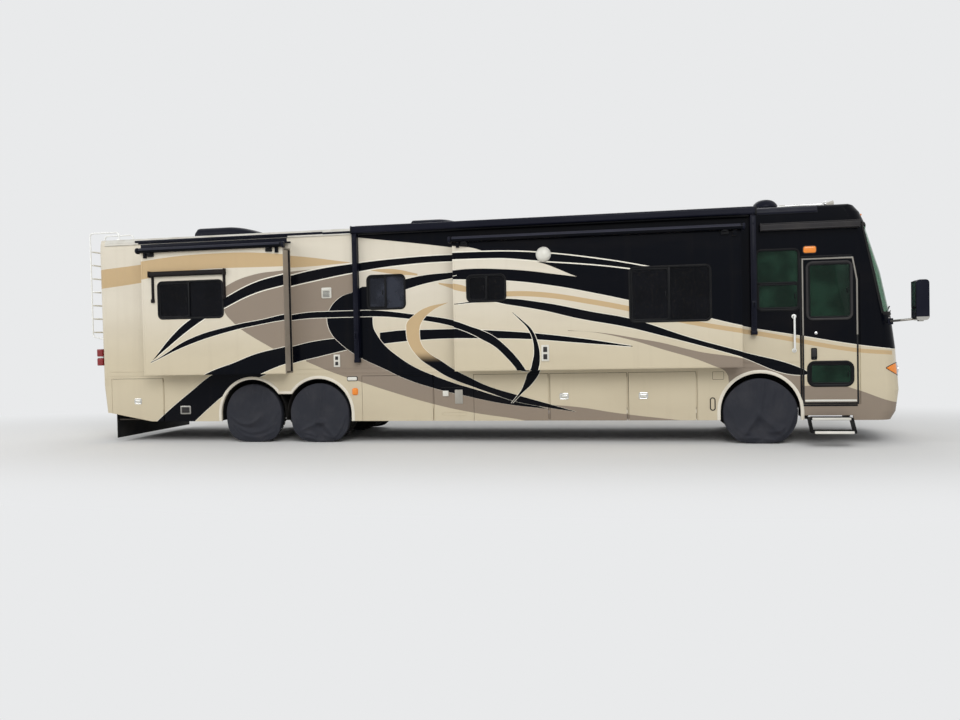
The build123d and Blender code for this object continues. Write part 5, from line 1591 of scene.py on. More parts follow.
@dataclass
class EntryDoor:
    """Trim, handle, lock and steps of the entry."""

    face: float = HALF_WIDTH
    outline: tuple[Point, ...] = ((5.27, 0.60), (6.05, 0.60), (6.05, 2.42), (5.99, 2.76), (5.27, 2.76))

    def build(self) -> None:
        """Makes the door's fittings."""
        f, body = self.face, "entry_door_body"
        edge = border(Form(), self.outline, ((0.001, f - 0.020), (0.001, f + 0.003), (0.004, f + 0.006), (0.020, f + 0.006),
                                             (0.024, f + 0.002), (0.024, f - 0.004)), -1)
        edge.place("entry_door_edge", DOOR_EDGE_COATS, body)
        jamb = Form()
        jamb.block((5.236, 5.262), (-(f - 0.001), -(f + 0.007)), (0.566, 2.794), 0.003)
        jamb.block((5.236, 6.030), (-(f - 0.001), -(f + 0.007)), (0.566, 0.592), 0.003)
        jamb.block((5.236, 5.970), (-(f - 0.001), -(f + 0.007)), (2.768, 2.794), 0.003)
        jamb.place("entry_jamb", TRIM_BLACK, "coach")
        kick = Form().block((5.300, 6.020), (-(f - 0.001), -(f + 0.009)), (0.634, 0.664), 0.004)
        kick.place("entry_kick_strip", WHITE_SHEET, body)
        cup = Form()
        cup.pad((5.390, 5.476), (1.255, 1.432), 0.020, ((0, f - 0.001), (0.002, f + 0.010), (0.008, f + 0.014)), -1)
        cup.place("entry_handle_plate", TRIM_BLACK, body)
        paddle = Form()
        paddle.pad((5.402, 5.464), (1.300, 1.415), 0.014, ((0, f + 0.012), (0.002, f + 0.022), (0.010, f + 0.027)), -1)
        paddle.lathe(((0.001, 0), (0.011, 0), (0.011, 0.006), (0.001, 0.007)), (5.433, -(f + 0.012), 1.277), (0, -1, 0), 16)
        paddle.place("entry_handle_paddle", GREY_CASE, body)
        lock = Form()
        lock.lathe(((0.001, -0.001), (0.023, -0.001), (0.023, 0.006), (0.017, 0.011), (0.001, 0.012)),
                   (5.463, -f, 1.652), (0, -1, 0), 24)
        lock.place("entry_lock", CHROME, body)
        grab = Form()
        grab.tube(((5.155, -(f - 0.002), 1.905), (5.155, -(f + 0.058), 1.905), (5.155, -(f + 0.058), 1.400),
                   (5.155, -(f - 0.002), 1.400)), 0.016, 0.035, 14)
        for z in (1.905, 1.400):
            grab.lathe(((0.001, -0.001), (0.034, -0.001), (0.034, 0.006), (0.026, 0.012), (0.001, 0.013)),
                       (5.155, -f, z), (0, -1, 0), 24)
        grab.place("entry_grab_handle", WHITE_TUBE, "coach")
        nosing, mats = Form(), Form()
        for y, z in ((-1.505, 0.410), (-1.710, 0.235)):
            nosing.block((5.358, 5.892), (y - 0.006, y + 0.020), (z - 0.034, z + 0.005), 0.006)
            mats.block((5.360, 5.890), (y + 0.022, y + 0.200), (z - 0.001, z + 0.004), 0.002)
        nosing.place("entry_step_nosing", WHITE_SHEET, "entry_step_body")
        mats.place("entry_step_mats", FLAP_RUBBER, "entry_step_body")
        rib = Form().block((-0.262, 0.262), (-0.0035, 0.0035), (-0.002, 0.003), 0.001, 1)
        REPEAT.lay(rib, "entry_step_ribs_upper", FLAP_RUBBER, "entry_step_body", 9, (5.625, -1.470, 0.415), (0, 0.020, 0))
        rib = Form().block((-0.262, 0.262), (-0.0035, 0.0035), (-0.002, 0.003), 0.001, 1)
        REPEAT.lay(rib, "entry_step_ribs_lower", FLAP_RUBBER, "entry_step_body", 9, (5.625, -1.675, 0.240), (0, 0.020, 0))
        inner = Form()
        inner.pad((5.40, 5.94), (1.28, 1.80), 0.03, ((0, f - 0.044), (0.002, f - 0.052), (0.012, f - 0.058)), -1)
        inner.place("entry_door_liner", DASH_SKIN, body)


FRONT_ROWS = ((0.36, 6.64, 6.53), (0.48, 6.71, 6.60), (0.80, 6.75, 6.645), (1.42, 6.715, 6.602), (1.88, 6.655, 6.545),
              (2.53, 6.545, 6.415), (3.27, 6.335, 6.195), (3.43, 6.26, 6.125), (3.53, 6.175, 6.04), (3.59, 6.01, 5.88))
CHORD = 1.04
BEND = 0.24


def front_x(y: float, z: float) -> float:
    """Place of the front cap's outer face.

    Args:
        y: distance off the coach's middle.
        z: height.

    Returns:
        Its x in the coach's frame.
    """
    for low, high in zip(FRONT_ROWS, FRONT_ROWS[1:]):
        if z <= high[0]:
            break
    t = (z - low[0]) / (high[0] - low[0])
    nose = low[1] + (high[1] - low[1]) * t
    corner = low[2] + (high[2] - low[2]) * t
    sagitta = nose - corner
    bow = (CHORD ** 2 + sagitta ** 2) / (2 * sagitta)
    if abs(y) <= CHORD:
        return nose - (bow - math.sqrt(bow ** 2 - y ** 2))
    return corner - BEND + math.sqrt(max(BEND ** 2 - (abs(y) - CHORD) ** 2, 0))


def corner_at(z: float) -> float:
    """Place where the front's corner starts to bend, at a height."""
    return front_x(CHORD, z)


def wrap(angle: float, z: float, proud: float = 0.0) -> Vector:
    """Point on the front's rounded corner, right side.

    Args:
        angle: degrees from straight ahead.
        z: height.
        proud: its height above the face.

    Returns:
        The point.
    """
    reach, bend = BEND + proud, math.radians(angle)
    return Vector((corner_at(z) - BEND + reach * math.cos(bend), -(CHORD + reach * math.sin(bend)), z))


def glass_angle(z: float) -> float:
    """Angle at which the windshield's side edge lies on the corner, in degrees."""
    edge = 6.390 - 0.265 * (z - 1.92) / 1.33
    return math.degrees(math.acos(max(-1.0, min(1.0, (edge - corner_at(z) + BEND) / BEND))))

@dataclass
class FrontEnd:
    """Windshield trim, wipers, lamps and lower front."""

    shield_z: Span = (1.92, 3.25)

    def on_face(self, y: float, z: float, proud: float = 0.0) -> Vector:
        """Point on the front face, or a little off it."""
        return Vector((front_x(y, z) + proud, y, z))

    def strip(self, form: Form, path: Sequence[Point], half: float, proud: float, sink: float = 0.006) -> None:
        """Adds a flat band that follows the front face.

        Args:
            form: the form it is added to.
            path: its middle line in y and z.
            half: half its width.
            proud: its height above the face.
            sink: how deep it reaches into the face.
        """
        loops = []
        for k, point in enumerate(path):
            ahead = (Vector(path[min(k + 1, len(path) - 1)]) - Vector(path[max(k - 1, 0)])).normalized()
            out = Vector((-ahead.y, ahead.x))
            loop = []
            for across, lift in ((-half, -sink), (-half, proud * 0.6), (-half * 0.7, proud), (half * 0.7, proud),
                                 (half, proud * 0.6), (half, -sink)):
                y, z = point[0] + out.x * across, point[1] + out.y * across
                loop.append(self.on_face(y, z, lift))
            loops.append(loop)
        form.rows(loops)

    def shield(self) -> None:
        """Rubber round both panes, and the middle bar."""
        seal = Form()
        z0, z1 = self.shield_z
        for z in (z0, z1):
            self.strip(seal, [(-CHORD + 2 * CHORD * k / 40, z) for k in range(41)], 0.024, 0.010)
        self.strip(seal, [(0.0, z0 + (z1 - z0) * k / 24) for k in range(25)], 0.022, 0.010)
        for side in (-1, 1):
            upright = [(glass_angle(z0 + (z1 - z0) * k / 24), z0 + (z1 - z0) * k / 24) for k in range(25)]
            lines = [(upright, 5.0, 0.0)]
            for z in (z0, z1):
                lines.append(([(glass_angle(z) * k / 10, z) for k in range(11)], 0.0, 0.024))
            for line, turn, rise in lines:
                loops = []
                for angle, z in line:
                    loop = []
                    for across, proud in ((-1, -0.006), (-1, 0.006), (-0.7, 0.010), (0.7, 0.010), (1, 0.006), (1, -0.006)):
                        at = wrap(angle + turn * across, z + rise * across, proud)
                        loop.append(Vector((at.x, -side * at.y, at.z)))
                    loops.append(loop)
                seal.rows(loops)
        seal.place("windshield_seal", FLAP_RUBBER, "coach")

    def wipers(self) -> None:
        """Two wipers parked low on the glass."""
        arms, blades = Form(), Form()
        for side in (-1, 1):
            pivot = (side * 0.16, 1.86)
            hub = self.on_face(*pivot)
            arms.lathe(((0.001, -0.004), (0.030, -0.004), (0.028, 0.022), (0.016, 0.030), (0.001, 0.030)), hub, (1, 0, 0.2), 20)
            line = [self.on_face(pivot[0] + side * 0.80 * k / 8, pivot[1] + 0.10 * k / 8, 0.022) for k in range(9)]
            arms.tube(line, 0.010, sides=8, flat=0.7)
            blade = [self.on_face(side * (0.30 + 0.80 * k / 10), 1.945 + 0.075 * k / 10, 0.012) for k in range(11)]
            blades.tube(blade, 0.009, sides=8)
        arms.place("wiper_arms", TRIM_BLACK, "coach")
        blades.place("wiper_blades", FLAP_RUBBER, "coach")

    def lamps(self) -> None:
        """Lamp clusters that run from beside the nose round onto the sides, with their round lights."""
        shapes = {"clear": Form(), "amber": Form(), "bezel": Form(), "bowls": Form(), "pupils": Form()}
        for side in (-1, 1):
            rows: list[tuple[str, list[Vector]]] = []
            for word, grow, lift in (("lens", 0.0, 0.0), ("bezel", 0.010, -0.004)):
                for k in range(37):
                    share = k / 36
                    angle = 80 * max(0.0, share - 0.4) / 0.6
                    y = 0.80 + (CHORD - 0.80) * min(1.0, share / 0.4)
                    tall = grow + 0.100 * (0.62 + 0.38 * min(1.0, share / 0.3)) * max(0.03, 1 - (max(0.0, share - 0.42) / 0.58) ** 2.2)
                    middle = 1.075 + 0.045 * share
                    loop = []
                    for across, proud in ((-1, -0.006), (-0.93, 0.006), (-0.5, 0.012), (0.5, 0.012), (0.93, 0.006), (1, -0.006)):
                        z = middle + tall * across
                        at = wrap(angle, z, proud + lift) if share > 0.4 else self.on_face(-y, z, proud + lift)
                        loop.append(Vector((at.x, -side * at.y, at.z)))
                    rows.append((word, loop))
            lens = [loop for word, loop in rows if word == "lens"]
            shapes["clear"].rows(lens[:25])
            shapes["amber"].rows(lens[24:])
            shapes["bezel"].rows([loop for word, loop in rows if word == "bezel"])
            for y, size in ((0.875, 0.046), (0.985, 0.058)):
                hub = self.on_face(side * y, 1.092, 0.008)
                shapes["bowls"].lathe(((size * 0.72, 0.0), (size * 0.78, 0.008), (size, 0.009), (size, 0.0)), hub, (1, 0, 0.05), 32)
                shapes["pupils"].lathe(((0.001, 0.0), (size * 0.72, 0.0), (size * 0.70, 0.005), (size * 0.30, 0.009),
                                        (0.001, 0.010)), hub, (1, 0, 0.05), 32)
        for word, finish in (("clear", HEAD_LENS), ("amber", AMBER_LENS), ("bezel", TRIM_BLACK), ("bowls", CHROME),
                             ("pupils", LAMP_PUPIL)):
            shapes[word].place(f"headlamp_{word}", finish, "coach")

    def lower(self) -> None:
        """Grille backing, blank plate, and roof marker lamps at the front and rear."""
        mesh = Form()
        loops = []
        for k in range(25):
            y = -0.72 + 1.44 * k / 24
            loops.append([Vector((front_x(y, z) - deep, y, z)) for z, deep in ((0.54, 0.046), (0.92, 0.046), (0.92, 0.052),
                                                                               (0.54, 0.052))])
        mesh.rows(loops)
        mesh.place("grille_backing", TRIM_BLACK, "coach")
        plate = Form()
        plate.block((6.735, 6.765), (-0.16, 0.16), (0.965, 1.105), 0.006, turn=Matrix.Rotation(0.04, 3, "Y"))
        plate.place("front_plate_blank", WHITE_SHEET, "coach")
        markers = Form()
        for y in (-0.95, -0.25, 0.0, 0.25, 0.95):
            at = self.on_face(y, 3.40, 0.004)
            markers.block((at.x - 0.016, at.x + 0.010), (y - 0.045, y + 0.045), (3.380, 3.418), 0.008, 3,
                          Matrix.Rotation(0.42, 3, "Y"))
        markers.place("front_roof_markers", AMBER_LENS, "coach")
        rear = Form()
        for y in (-0.95, -0.25, 0.0, 0.25, 0.95):
            rear.block((-6.512, -6.482), (y - 0.045, y + 0.045), (3.405, 3.443), 0.008, 3)
        rear.place("rear_roof_markers", RED_LENS, "coach")

    def build(self) -> None:
        """Makes the front's details."""
        self.shield()
        self.wipers()
        self.lamps()
        self.lower()


@dataclass
class RearEnd:
    """Ladder feet, tail lamp lenses, engine door latches and plate."""

    back: float = -6.52

    def build(self) -> None:
        """Makes the rear's details."""
        feet, grips = Form(), Form()
        for y in (-1.06, -0.64):
            feet.block((self.back + 0.01, self.back + 0.05), (y - 0.030, y + 0.030), (1.765, 1.835), 0.008)
            feet.tube(((-6.730, y, 2.66), (self.back + 0.02, y, 2.66)), 0.010, sides=10)
            feet.block((self.back - 0.006, self.back + 0.05), (y - 0.024, y + 0.024), (2.620, 2.700), 0.006)
            feet.block((-6.18, -6.12), (y - 0.034, y + 0.034), (3.545, 3.580), 0.008)
        feet.place("ladder_feet", WHITE_TUBE, "coach")
        tread = Form().tube(((0, -0.150, 0), (0, 0.150, 0)), 0.0145, sides=14)
        REPEAT.lay(tread, "ladder_rung_grips", WHITE_SHEET, "coach", 7, (-6.730, -0.85, 1.940), (0, 0, 0.240))
        for name, finish, bands in (("red", RED_LENS, ((1.345, 1.474), (1.506, 1.635))), ("clear", CLEAR_LENS, ((1.474, 1.506),))):
            lens = Form()
            for side in (-1, 1):
                for z in bands:
                    lens.block((self.back - 0.004, self.back + 0.105), (side * 1.055, side * 1.262), z, 0.012, 3)
            lens.place(f"tail_lamp_{name}", finish, "coach")
        slat = Form().block((-0.006, 0.006), (-0.300, 0.300), (-0.004, 0.012), 0.002, turn=Matrix.Rotation(0.5, 3, "Y"))
        REPEAT.lay(slat, "engine_louvres_right", TRIM_BLACK, "engine_door_body", 9, (self.back + 0.004, -0.34, 1.118),
                   (0, 0, 0.0667))
        slat = Form().block((-0.006, 0.006), (-0.300, 0.300), (-0.004, 0.012), 0.002, turn=Matrix.Rotation(0.5, 3, "Y"))
        REPEAT.lay(slat, "engine_louvres_left", TRIM_BLACK, "engine_door_body", 9, (self.back + 0.004, 0.34, 1.118),
                   (0, 0, 0.0667))
        latch = Form()
        for y in (-0.55, 0.55):
            latch.block((self.back - 0.012, self.back + 0.002), (y - 0.045, y + 0.045), (1.058, 1.084), 0.005)
        latch.place("engine_door_latches", CHROME, "engine_door_body")
        plate = Form().block((self.back - 0.006, self.back + 0.012), (-0.16, 0.16), (0.84, 0.98), 0.004)
        plate.place("rear_plate_blank", WHITE_SHEET, "coach")
        cup = Form()
        cup.lathe(((0.001, 0), (0.042, 0), (0.042, 0.006), (0.034, 0.010), (0.001, 0.011)), (self.back + 0.001, 0, 2.95),
                  (-1, 0, 0), 28)
        cup.lathe(((0.001, 0.008), (0.020, 0.008), (0.016, 0.050), (0.001, 0.052)), (self.back + 0.001, 0, 2.95), (-1, 0, 0), 20)
        cup.place("rear_camera", TRIM_BLACK, "coach")


@dataclass
class RoofGear:
    """Details on the air conditioners, the dome and the horns."""

    crown: float = 3.59

    def unit(self, number: int, x0: float, x1: float, tall: float) -> None:
        """Shroud of one air conditioner with its lip and slats.

        Args:
            number: its number from the rear.
            x0: its rear end.
            x1: its front end.
            tall: height of its shroud over the roof.
        """
        shroud, long = Form(), x1 - x0
        loops = []
        for k in range(33):
            t = k / 32
            rise = min(1.0, (t / 0.05) ** 0.5) * (1 - 0.52 * max(0.0, (t - 0.52) / 0.48) ** 1.7)
            rise *= min(1.0, max(0.0, (1 - t) / 0.025) ** 0.5 * 0.9 + 0.1)
            half = 0.355 - 0.05 * max(0.0, (t - 0.8) / 0.2) ** 2 - 0.05 * max(0.0, (0.05 - t) / 0.05) ** 2
            high = max(0.02, tall * rise)
            section = [(half, 0.0), (half, high * 0.40), (half * 0.97, high * 0.66), (half * 0.86, high * 0.84),
                       (half * 0.62, high * 0.94), (half * 0.30, high * 0.985)]
            ring = section + [(0.0, high)] + [(-y, z) for y, z in section[::-1]]
            loops.append([Vector((x0 + long * t, y, self.crown - 0.015 + z)) for y, z in ring])
        shroud.rows(loops)
        piece = shroud.place(f"air_unit_{number}_shroud", NAVY_CASE, "coach", 50)
        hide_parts("roof_air_conditioners")
        lip = Form()
        lip.rows([[Vector((x, y, z)) for x, y in rounded_box((x0 - grow, x1 + grow), (-0.36 - grow, 0.36 + grow), 0.09 + grow, 6)]
                  for grow, z in ((0.014, 3.575), (0.014, 3.592), (0.006, 3.600), (-0.004, 3.600), (-0.004, 3.575))],
                 closed=True)
        lip.place(f"air_unit_{number}_lip", GREY_CASE, "coach")
        for side in (-1, 1):
            tag = "right" if side < 0 else "left"
            slat = Form().block((-0.004, 0.004), (-0.006, 0.006), (-0.030, 0.030), 0.002)
            REPEAT.lay(slat, f"air_unit_{number}_{tag}_slats", TRIM_BLACK, "coach", 14,
                       (x0 + 0.20, side * 0.356, 3.632), (0.028, 0, 0))

    def build(self) -> None:
        """Makes the roof's details."""
        for number, (x0, x1, tall) in enumerate(((-5.13, -3.87, 0.255), (-1.03, -0.07, 0.205)), 1):
            self.unit(number, x0, x1, tall)
        base = Form()
        base.block((4.66, 5.07), (-0.655, -0.245), (3.560, 3.606), 0.012)
        base.block((4.62, 4.68), (-0.52, -0.38), (3.575, 3.650), 0.010)
        base.place("dome_base", GREY_CASE, "coach")
        ring = Form()
        ring.lathe(((0.200, 0), (0.210, 0), (0.212, 0.010), (0.203, 0.014)), (4.865, -0.45, 3.634), (0, 0, 1), 48)
        ring.place("dome_ring", NAVY_CASE, "coach")
        horn = Form()
        horn.tube(((5.12, -0.80, 3.616), (5.62, -0.80, 3.616)), 0.013, sides=14)
        horn.lathe(((0.013, 0), (0.016, 0.04), (0.024, 0.09), (0.042, 0.13), (0.046, 0.132), (0.040, 0.128), (0.012, 0.06)),
                   (5.58, -0.80, 3.616), (1, 0, 0), 28)
        for x in (5.16, 5.54):
            horn.block((x - 0.012, x + 0.012), (-0.812, -0.788), (3.555, 3.614), 0.004)
        horn.place("short_horn", CHROME, "coach")
        strip = Form()
        strip.tube(((4.97, -1.02, 3.574), (5.30, -1.02, 3.580), (5.64, -1.02, 3.570)), 0.010, 0.1, 12)
        strip.place("roof_front_rail", WHITE_TUBE, "coach")
        vents = Form()
        for x in (-3.30, 1.40, 3.20):
            vents.block((x - 0.20, x + 0.20), (-0.20, 0.20), (3.575, 3.640), 0.020, 3)
            vents.block((x - 0.22, x + 0.22), (-0.22, 0.22), (3.570, 3.592), 0.006)
        vents.place("roof_vents", WHITE_SHEET, "coach")


@dataclass
class Mirrors:
    """Glass and clamps of the mirrors."""

    def build(self) -> None:
        """Makes the mirrors' glass, frames and clamps."""
        glass, frame, clamp = Form(), Form(), Form()
        for side in (-1, 1):
            for low, high in ((1.99, 2.34), (1.83, 1.96)):
                glass.block((6.7185, 6.7225), (side * 1.495, side * 1.685), (low, high), 0.0015, 1)
                for z in (low - 0.006, high + 0.006):
                    frame.block((6.712, 6.724), (side * 1.484, side * 1.696), (z - 0.006, z + 0.006), 0.003)
                for y in (1.489, 1.691):
                    frame.block((6.712, 6.724), (side * (y - 0.006), side * (y + 0.006)), (low - 0.006, high + 0.006), 0.003)
            clamp.block((6.770, 6.840), (side * 1.550, side * 1.630), (1.785, 1.830), 0.010)
            clamp.lathe(((0.001, 0), (0.030, 0), (0.030, 0.012), (0.022, 0.018), (0.001, 0.018)), (6.48, side * 1.18, 1.845),
                        (0, 0, 1), 20)
        glass.place("mirror_glass", MIRROR_GLASS, "coach")
        frame.place("mirror_frames", TRIM_BLACK, "coach")
        clamp.place("mirror_clamps", SILVER, "coach")


@dataclass
class Underbody:
    """Exhaust, drive shaft, tanks and lines under the floor."""

    def build(self) -> None:
        """Makes the parts that show from below."""
        pipe = Form()
        pipe.tube(((-5.0, -0.46, 0.60), (-5.6, -0.50, 0.56), (-6.05, -0.62, 0.50), (-6.40, -0.62, 0.47)), 0.050, 0.2, 18)
        pipe.place("exhaust_pipe", CAST_IRON, "coach")
        shaft = Form()
        shaft.tube(((-4.76, 0, 0.62), (-2.62, 0, 0.52)), 0.045, sides=18)
        for x, z in ((-4.70, 0.617), (-2.68, 0.523)):
            shaft.lathe(((0.001, -0.05), (0.060, -0.05), (0.072, 0), (0.060, 0.05), (0.001, 0.05)), (x, 0, z), (1, 0, -0.05), 20)
        shaft.place("drive_shaft", STEEL, "coach")
        lines = Form()
        for y, z in ((0.318, 0.72), (0.300, 0.69), (-0.318, 0.72)):
            lines.tube(((-4.6, y, z), (-1.0, y, z), (2.0, y, z - 0.01), (5.6, y, z)), 0.009, 0.3, 8)
        lines.place("air_lines", TRIM_BLACK, "coach")
        tanks = Form()
        for x, y in ((-1.05, 0.0), (0.60, 0.0)):
            tanks.lathe(((0.001, -0.36), (0.075, -0.355), (0.110, -0.33), (0.116, -0.29), (0.116, 0.29), (0.110, 0.33),
                         (0.075, 0.355), (0.001, 0.36)), (x, y, 0.70), (0, 1, 0) if x > 0 else (1, 0, 0), 28)
        tanks.place("air_tanks", STEEL, "coach")


@dataclass(frozen=True)
class Crease:
    """A soft ridge, or a groove where its height is negative, on a wheel cover's face.

    Args:
        start: one end, off the wheel's middle, across and up.
        end: the other end.
        width: its half width.
        height: how far it stands out.
        bow: how far its middle hangs below the straight line.
    """

    start: Point
    end: Point
    width: float
    height: float
    bow: float = 0.0

    def lift(self, u: float, v: float) -> float:
        """Height of the ridge at a point of the face."""
        (u0, v0), (u1, v1) = self.start, self.end
        along, up = u1 - u0, v1 - v0
        share = ((u - u0) * along + (v - v0) * up) / (along ** 2 + up ** 2)
        held = min(max(share, 0.0), 1.0)
        droop = self.bow * 4 * held * (1 - held)
        off = math.hypot(u - u0 - along * held, v - v0 - up * held + droop)
        return self.height * math.exp(-((off / self.width) ** 1.35)) * (1.0 - 0.5 * abs(2 * held - 1) ** 3)


FRONT_CREASES = (
    Crease((-0.02, -0.04), (-0.30, -0.44), 0.040, 0.022), Crease((-0.02, -0.04), (0.38, -0.40), 0.044, 0.024),
    Crease((-0.01, -0.16), (0.03, -0.46), 0.060, -0.018), Crease((0.06, 0.46), (-0.01, -0.02), 0.030, 0.012),
    Crease((-0.14, 0.44), (-0.05, 0.02), 0.028, 0.008), Crease((-0.36, -0.22), (-0.10, -0.34), 0.030, 0.012, 0.03),
    Crease((0.12, -0.30), (0.34, -0.24), 0.030, 0.014, 0.03), Crease((-0.24, -0.40), (0.20, -0.43), 0.026, 0.014, -0.02),
    Crease((0.24, 0.38), (0.10, 0.06), 0.026, 0.006), Crease((-0.34, 0.28), (-0.16, 0.00), 0.030, 0.006),
)
DRIVE_CREASES = (
    Crease((0.03, 0.46), (0.01, -0.12), 0.026, 0.014), Crease((-0.06, -0.14), (0.09, -0.15), 0.030, 0.026),
    Crease((-0.04, -0.16), (-0.36, -0.30), 0.034, 0.016), Crease((0.06, -0.16), (0.26, -0.42), 0.036, 0.020),
    Crease((0.02, -0.24), (-0.02, -0.46), 0.050, -0.020), Crease((-0.28, -0.32), (-0.08, -0.38), 0.024, 0.014, -0.02),
    Crease((-0.30, -0.40), (-0.06, -0.44), 0.022, 0.014, -0.02), Crease((0.04, -0.34), (0.20, -0.40), 0.026, 0.014),
    Crease((-0.26, 0.40), (-0.20, 0.26), 0.018, 0.010), Crease((-0.20, 0.42), (-0.15, 0.30), 0.016, 0.008),
    Crease((0.36, 0.22), (0.22, 0.02), 0.026, 0.005),
)
TAG_CREASES = (
    Crease((-0.46, 0.03), (0.10, 0.02), 0.026, -0.018, 0.12), Crease((-0.42, -0.04), (0.16, -0.02), 0.034, 0.014, 0.14),
    Crease((-0.30, -0.18), (0.32, -0.10), 0.028, -0.014, 0.10), Crease((-0.26, -0.24), (0.36, -0.18), 0.036, 0.014, 0.10),
    Crease((-0.20, -0.36), (0.36, -0.30), 0.030, 0.012, 0.06), Crease((-0.30, 0.36), (-0.16, 0.28), 0.020, 0.008),
    Crease((-0.02, 0.44), (0.02, 0.24), 0.024, 0.008), Crease((0.22, 0.40), (0.16, 0.10), 0.030, 0.006),
)


@dataclass
class WheelCovers:
    """Fabric covers over the six wheel positions.

    Args:
        face: distance of the cover's face off the coach's middle.
        radius: its radius over the tyre.
        low: how far its hem hangs below the axle.
        lip: how far it reaches back over the tread.
        cells: cells across the face.
        thick: thickness of the cloth.
        steps: steps of the drape.
    """

    face: float = 1.2515
    radius: float = 0.4965
    low: float = 0.478
    lip: float = 0.126
    cells: int = 56
    thick: float = 0.0016
    steps: int = 18

    def reach(self, angle: float, wide: float) -> float:
        """Distance of the cover's edge from the axle.

        Args:
            angle: angle from straight ahead.
            wide: its half width at the axle's height.

        Returns:
            The distance.
        """
        c, s = math.cos(angle), math.sin(angle)
        if s >= 0:
            return self.radius + (wide - self.radius) * abs(c) ** 5
        power = 2.0 + 0.95 * min(1.0, -s * 1.6)
        return min(0.550, (abs(c / wide) ** power + abs(s / self.low) ** power) ** (-1 / power))

    def disc(self, u: float, v: float) -> Point:
        """Point of the face for a point of a square from -1 to 1."""
        x, z = u * math.sqrt(1 - v * v / 2), v * math.sqrt(1 - u * u / 2)
        return x, z

    def sheet(self, axle: float, side: int, wide: float, creases: Sequence[Crease]) -> tuple[Form, list[int]]:
        """One cover before its drape.

        Args:
            axle: place of the axle.
            side: -1 right, 1 left.
            wide: its half width at the axle's height.
            creases: the folds of its face.

        Returns:
            The form, and the numbers of the points that the tyre holds.
        """
        form, n = Form(), self.cells
        held: list[int] = []
        grid: dict[tuple[int, int], object] = {}
        for i in range(n + 1):
            for j in range(n + 1):
                x, z = self.disc(2 * i / n - 1, 2 * j / n - 1)
                angle, share = math.atan2(z, x), math.hypot(x, z)
                far = self.reach(angle, wide) * share
                u, v = far * math.cos(angle), far * math.sin(angle)
                inset = max(0.0, 1.0 - share)
                fold = sum(c.lift(u, v) for c in creases) * min(1.0, inset * 7 + 0.15) * 2.1
                fold += 0.0022 * math.sin(angle * 5 + 9 * share) * math.sin(7 * share) * (1 - v)
                round_off = 0.010 * max(0.0, share - 0.93) / 0.07
                hollow = 0.006 * math.exp(-((share / 0.55) ** 2))
                off = self.face + 0.006 + fold - round_off - hollow
                grid[i, j] = form.bm.verts.new((axle + u, side * off, AXLE_Z + v))
                if share > 0.965 and v > -0.12:
                    held.append(i * (n + 1) + j)
        for i in range(n):
            for j in range(n):
                form.bm.faces.new((grid[i, j], grid[i + 1, j], grid[i + 1, j + 1], grid[i, j + 1]))
        rim = ([(i, 0) for i in range(n)] + [(n, j) for j in range(n)] + [(i, n) for i in range(n, 0, -1)]
               + [(0, j) for j in range(n, 0, -1)])
        before = [grid[key] for key in rim]
        number = (n + 1) ** 2
        for row in range(1, 6):
            ring = []
            for k, key in enumerate(rim):
                start = grid[key].co
                angle = math.atan2(start.z - AXLE_Z, start.x - axle)
                depth = self.lip * (0.12 + 0.88 * min(1.0, max(0.0, (math.sin(angle) + 0.80) / 0.55)))
                pull = 0.004 * math.sin(angle * 31) * row / 5 if math.sin(angle) > -0.8 else 0.0
                shrink = 1.0 - (0.006 + pull) * (row / 5) ** 2
                ring.append(form.bm.verts.new((axle + (start.x - axle) * shrink, start.y - side * depth * row / 5,
                                               AXLE_Z + (start.z - AXLE_Z) * shrink)))
                if row == 5 or math.sin(angle) > -0.2:
                    held.append(number)
                number += 1
            for k in range(len(rim)):
                m = (k + 1) % len(rim)
                form.bm.faces.new((before[k], before[m], ring[m], ring[k]))
            before = ring
        bmesh.ops.recalc_face_normals(form.bm, faces=form.bm.faces[:])
        return form, held

    def drape(self, cover: bpy.types.Object, held: Sequence[int]) -> None:
        """Lets the cloth settle under its own weight, then holds it to its space."""
        start = [v.co.copy() for v in cover.data.vertices]
        group = cover.vertex_groups.new(name="held")
        group.add(list(held), 1.0, "REPLACE")
        cloth = cover.modifiers.new("cloth", "CLOTH")
        cloth.settings.quality = 6
        cloth.settings.mass = 0.25
        cloth.settings.tension_stiffness = 18
        cloth.settings.compression_stiffness = 12
        cloth.settings.shear_stiffness = 8
        cloth.settings.bending_stiffness = 0.35
        cloth.settings.vertex_group_mass = "held"
        cloth.settings.shrink_min = -0.012
        cloth.point_cache.frame_end = self.steps
        scene = bpy.context.scene
        for frame in range(1, self.steps + 1):
            scene.frame_set(frame)
        shaped = cover.evaluated_get(bpy.context.evaluated_depsgraph_get()).to_mesh()
        ends = [v.co.copy() for v in shaped.vertices]
        cover.evaluated_get(bpy.context.evaluated_depsgraph_get()).to_mesh_clear()
        cover.modifiers.clear()
        cover.vertex_groups.clear()
        scene.frame_set(1)
        for vert, first, last in zip(cover.data.vertices, start, ends):
            move = last - first
            limit = 0.010
            vert.co = first + (move if move.length < limit else move.normalized() * limit)

    def hold(self, cover: bpy.types.Object, axle: float, side: int) -> None:
        """Keeps every point off the tyre, off the wheel well and off the ground."""
        hub = axle + SHIFT
        for vert in cover.data.vertices:
            u, v, off = vert.co.x - hub, vert.co.z - AXLE_Z, vert.co.y * side
            far = math.hypot(u, v)
            if off > 1.2475 or (far < 0.482 and off > 1.19):
                off = min(max(off, 1.2485 if far > 0.27 else 1.240), 1.308)
            elif far > 0.480:
                grow = max(0.4935, min(far, 0.550)) / far
                u, v = u * grow, v * grow
            if far > 0.552:
                u, v = u * 0.552 / far, v * 0.552 / far
            vert.co = (hub + u, side * off, max(AXLE_Z + v, 0.006))

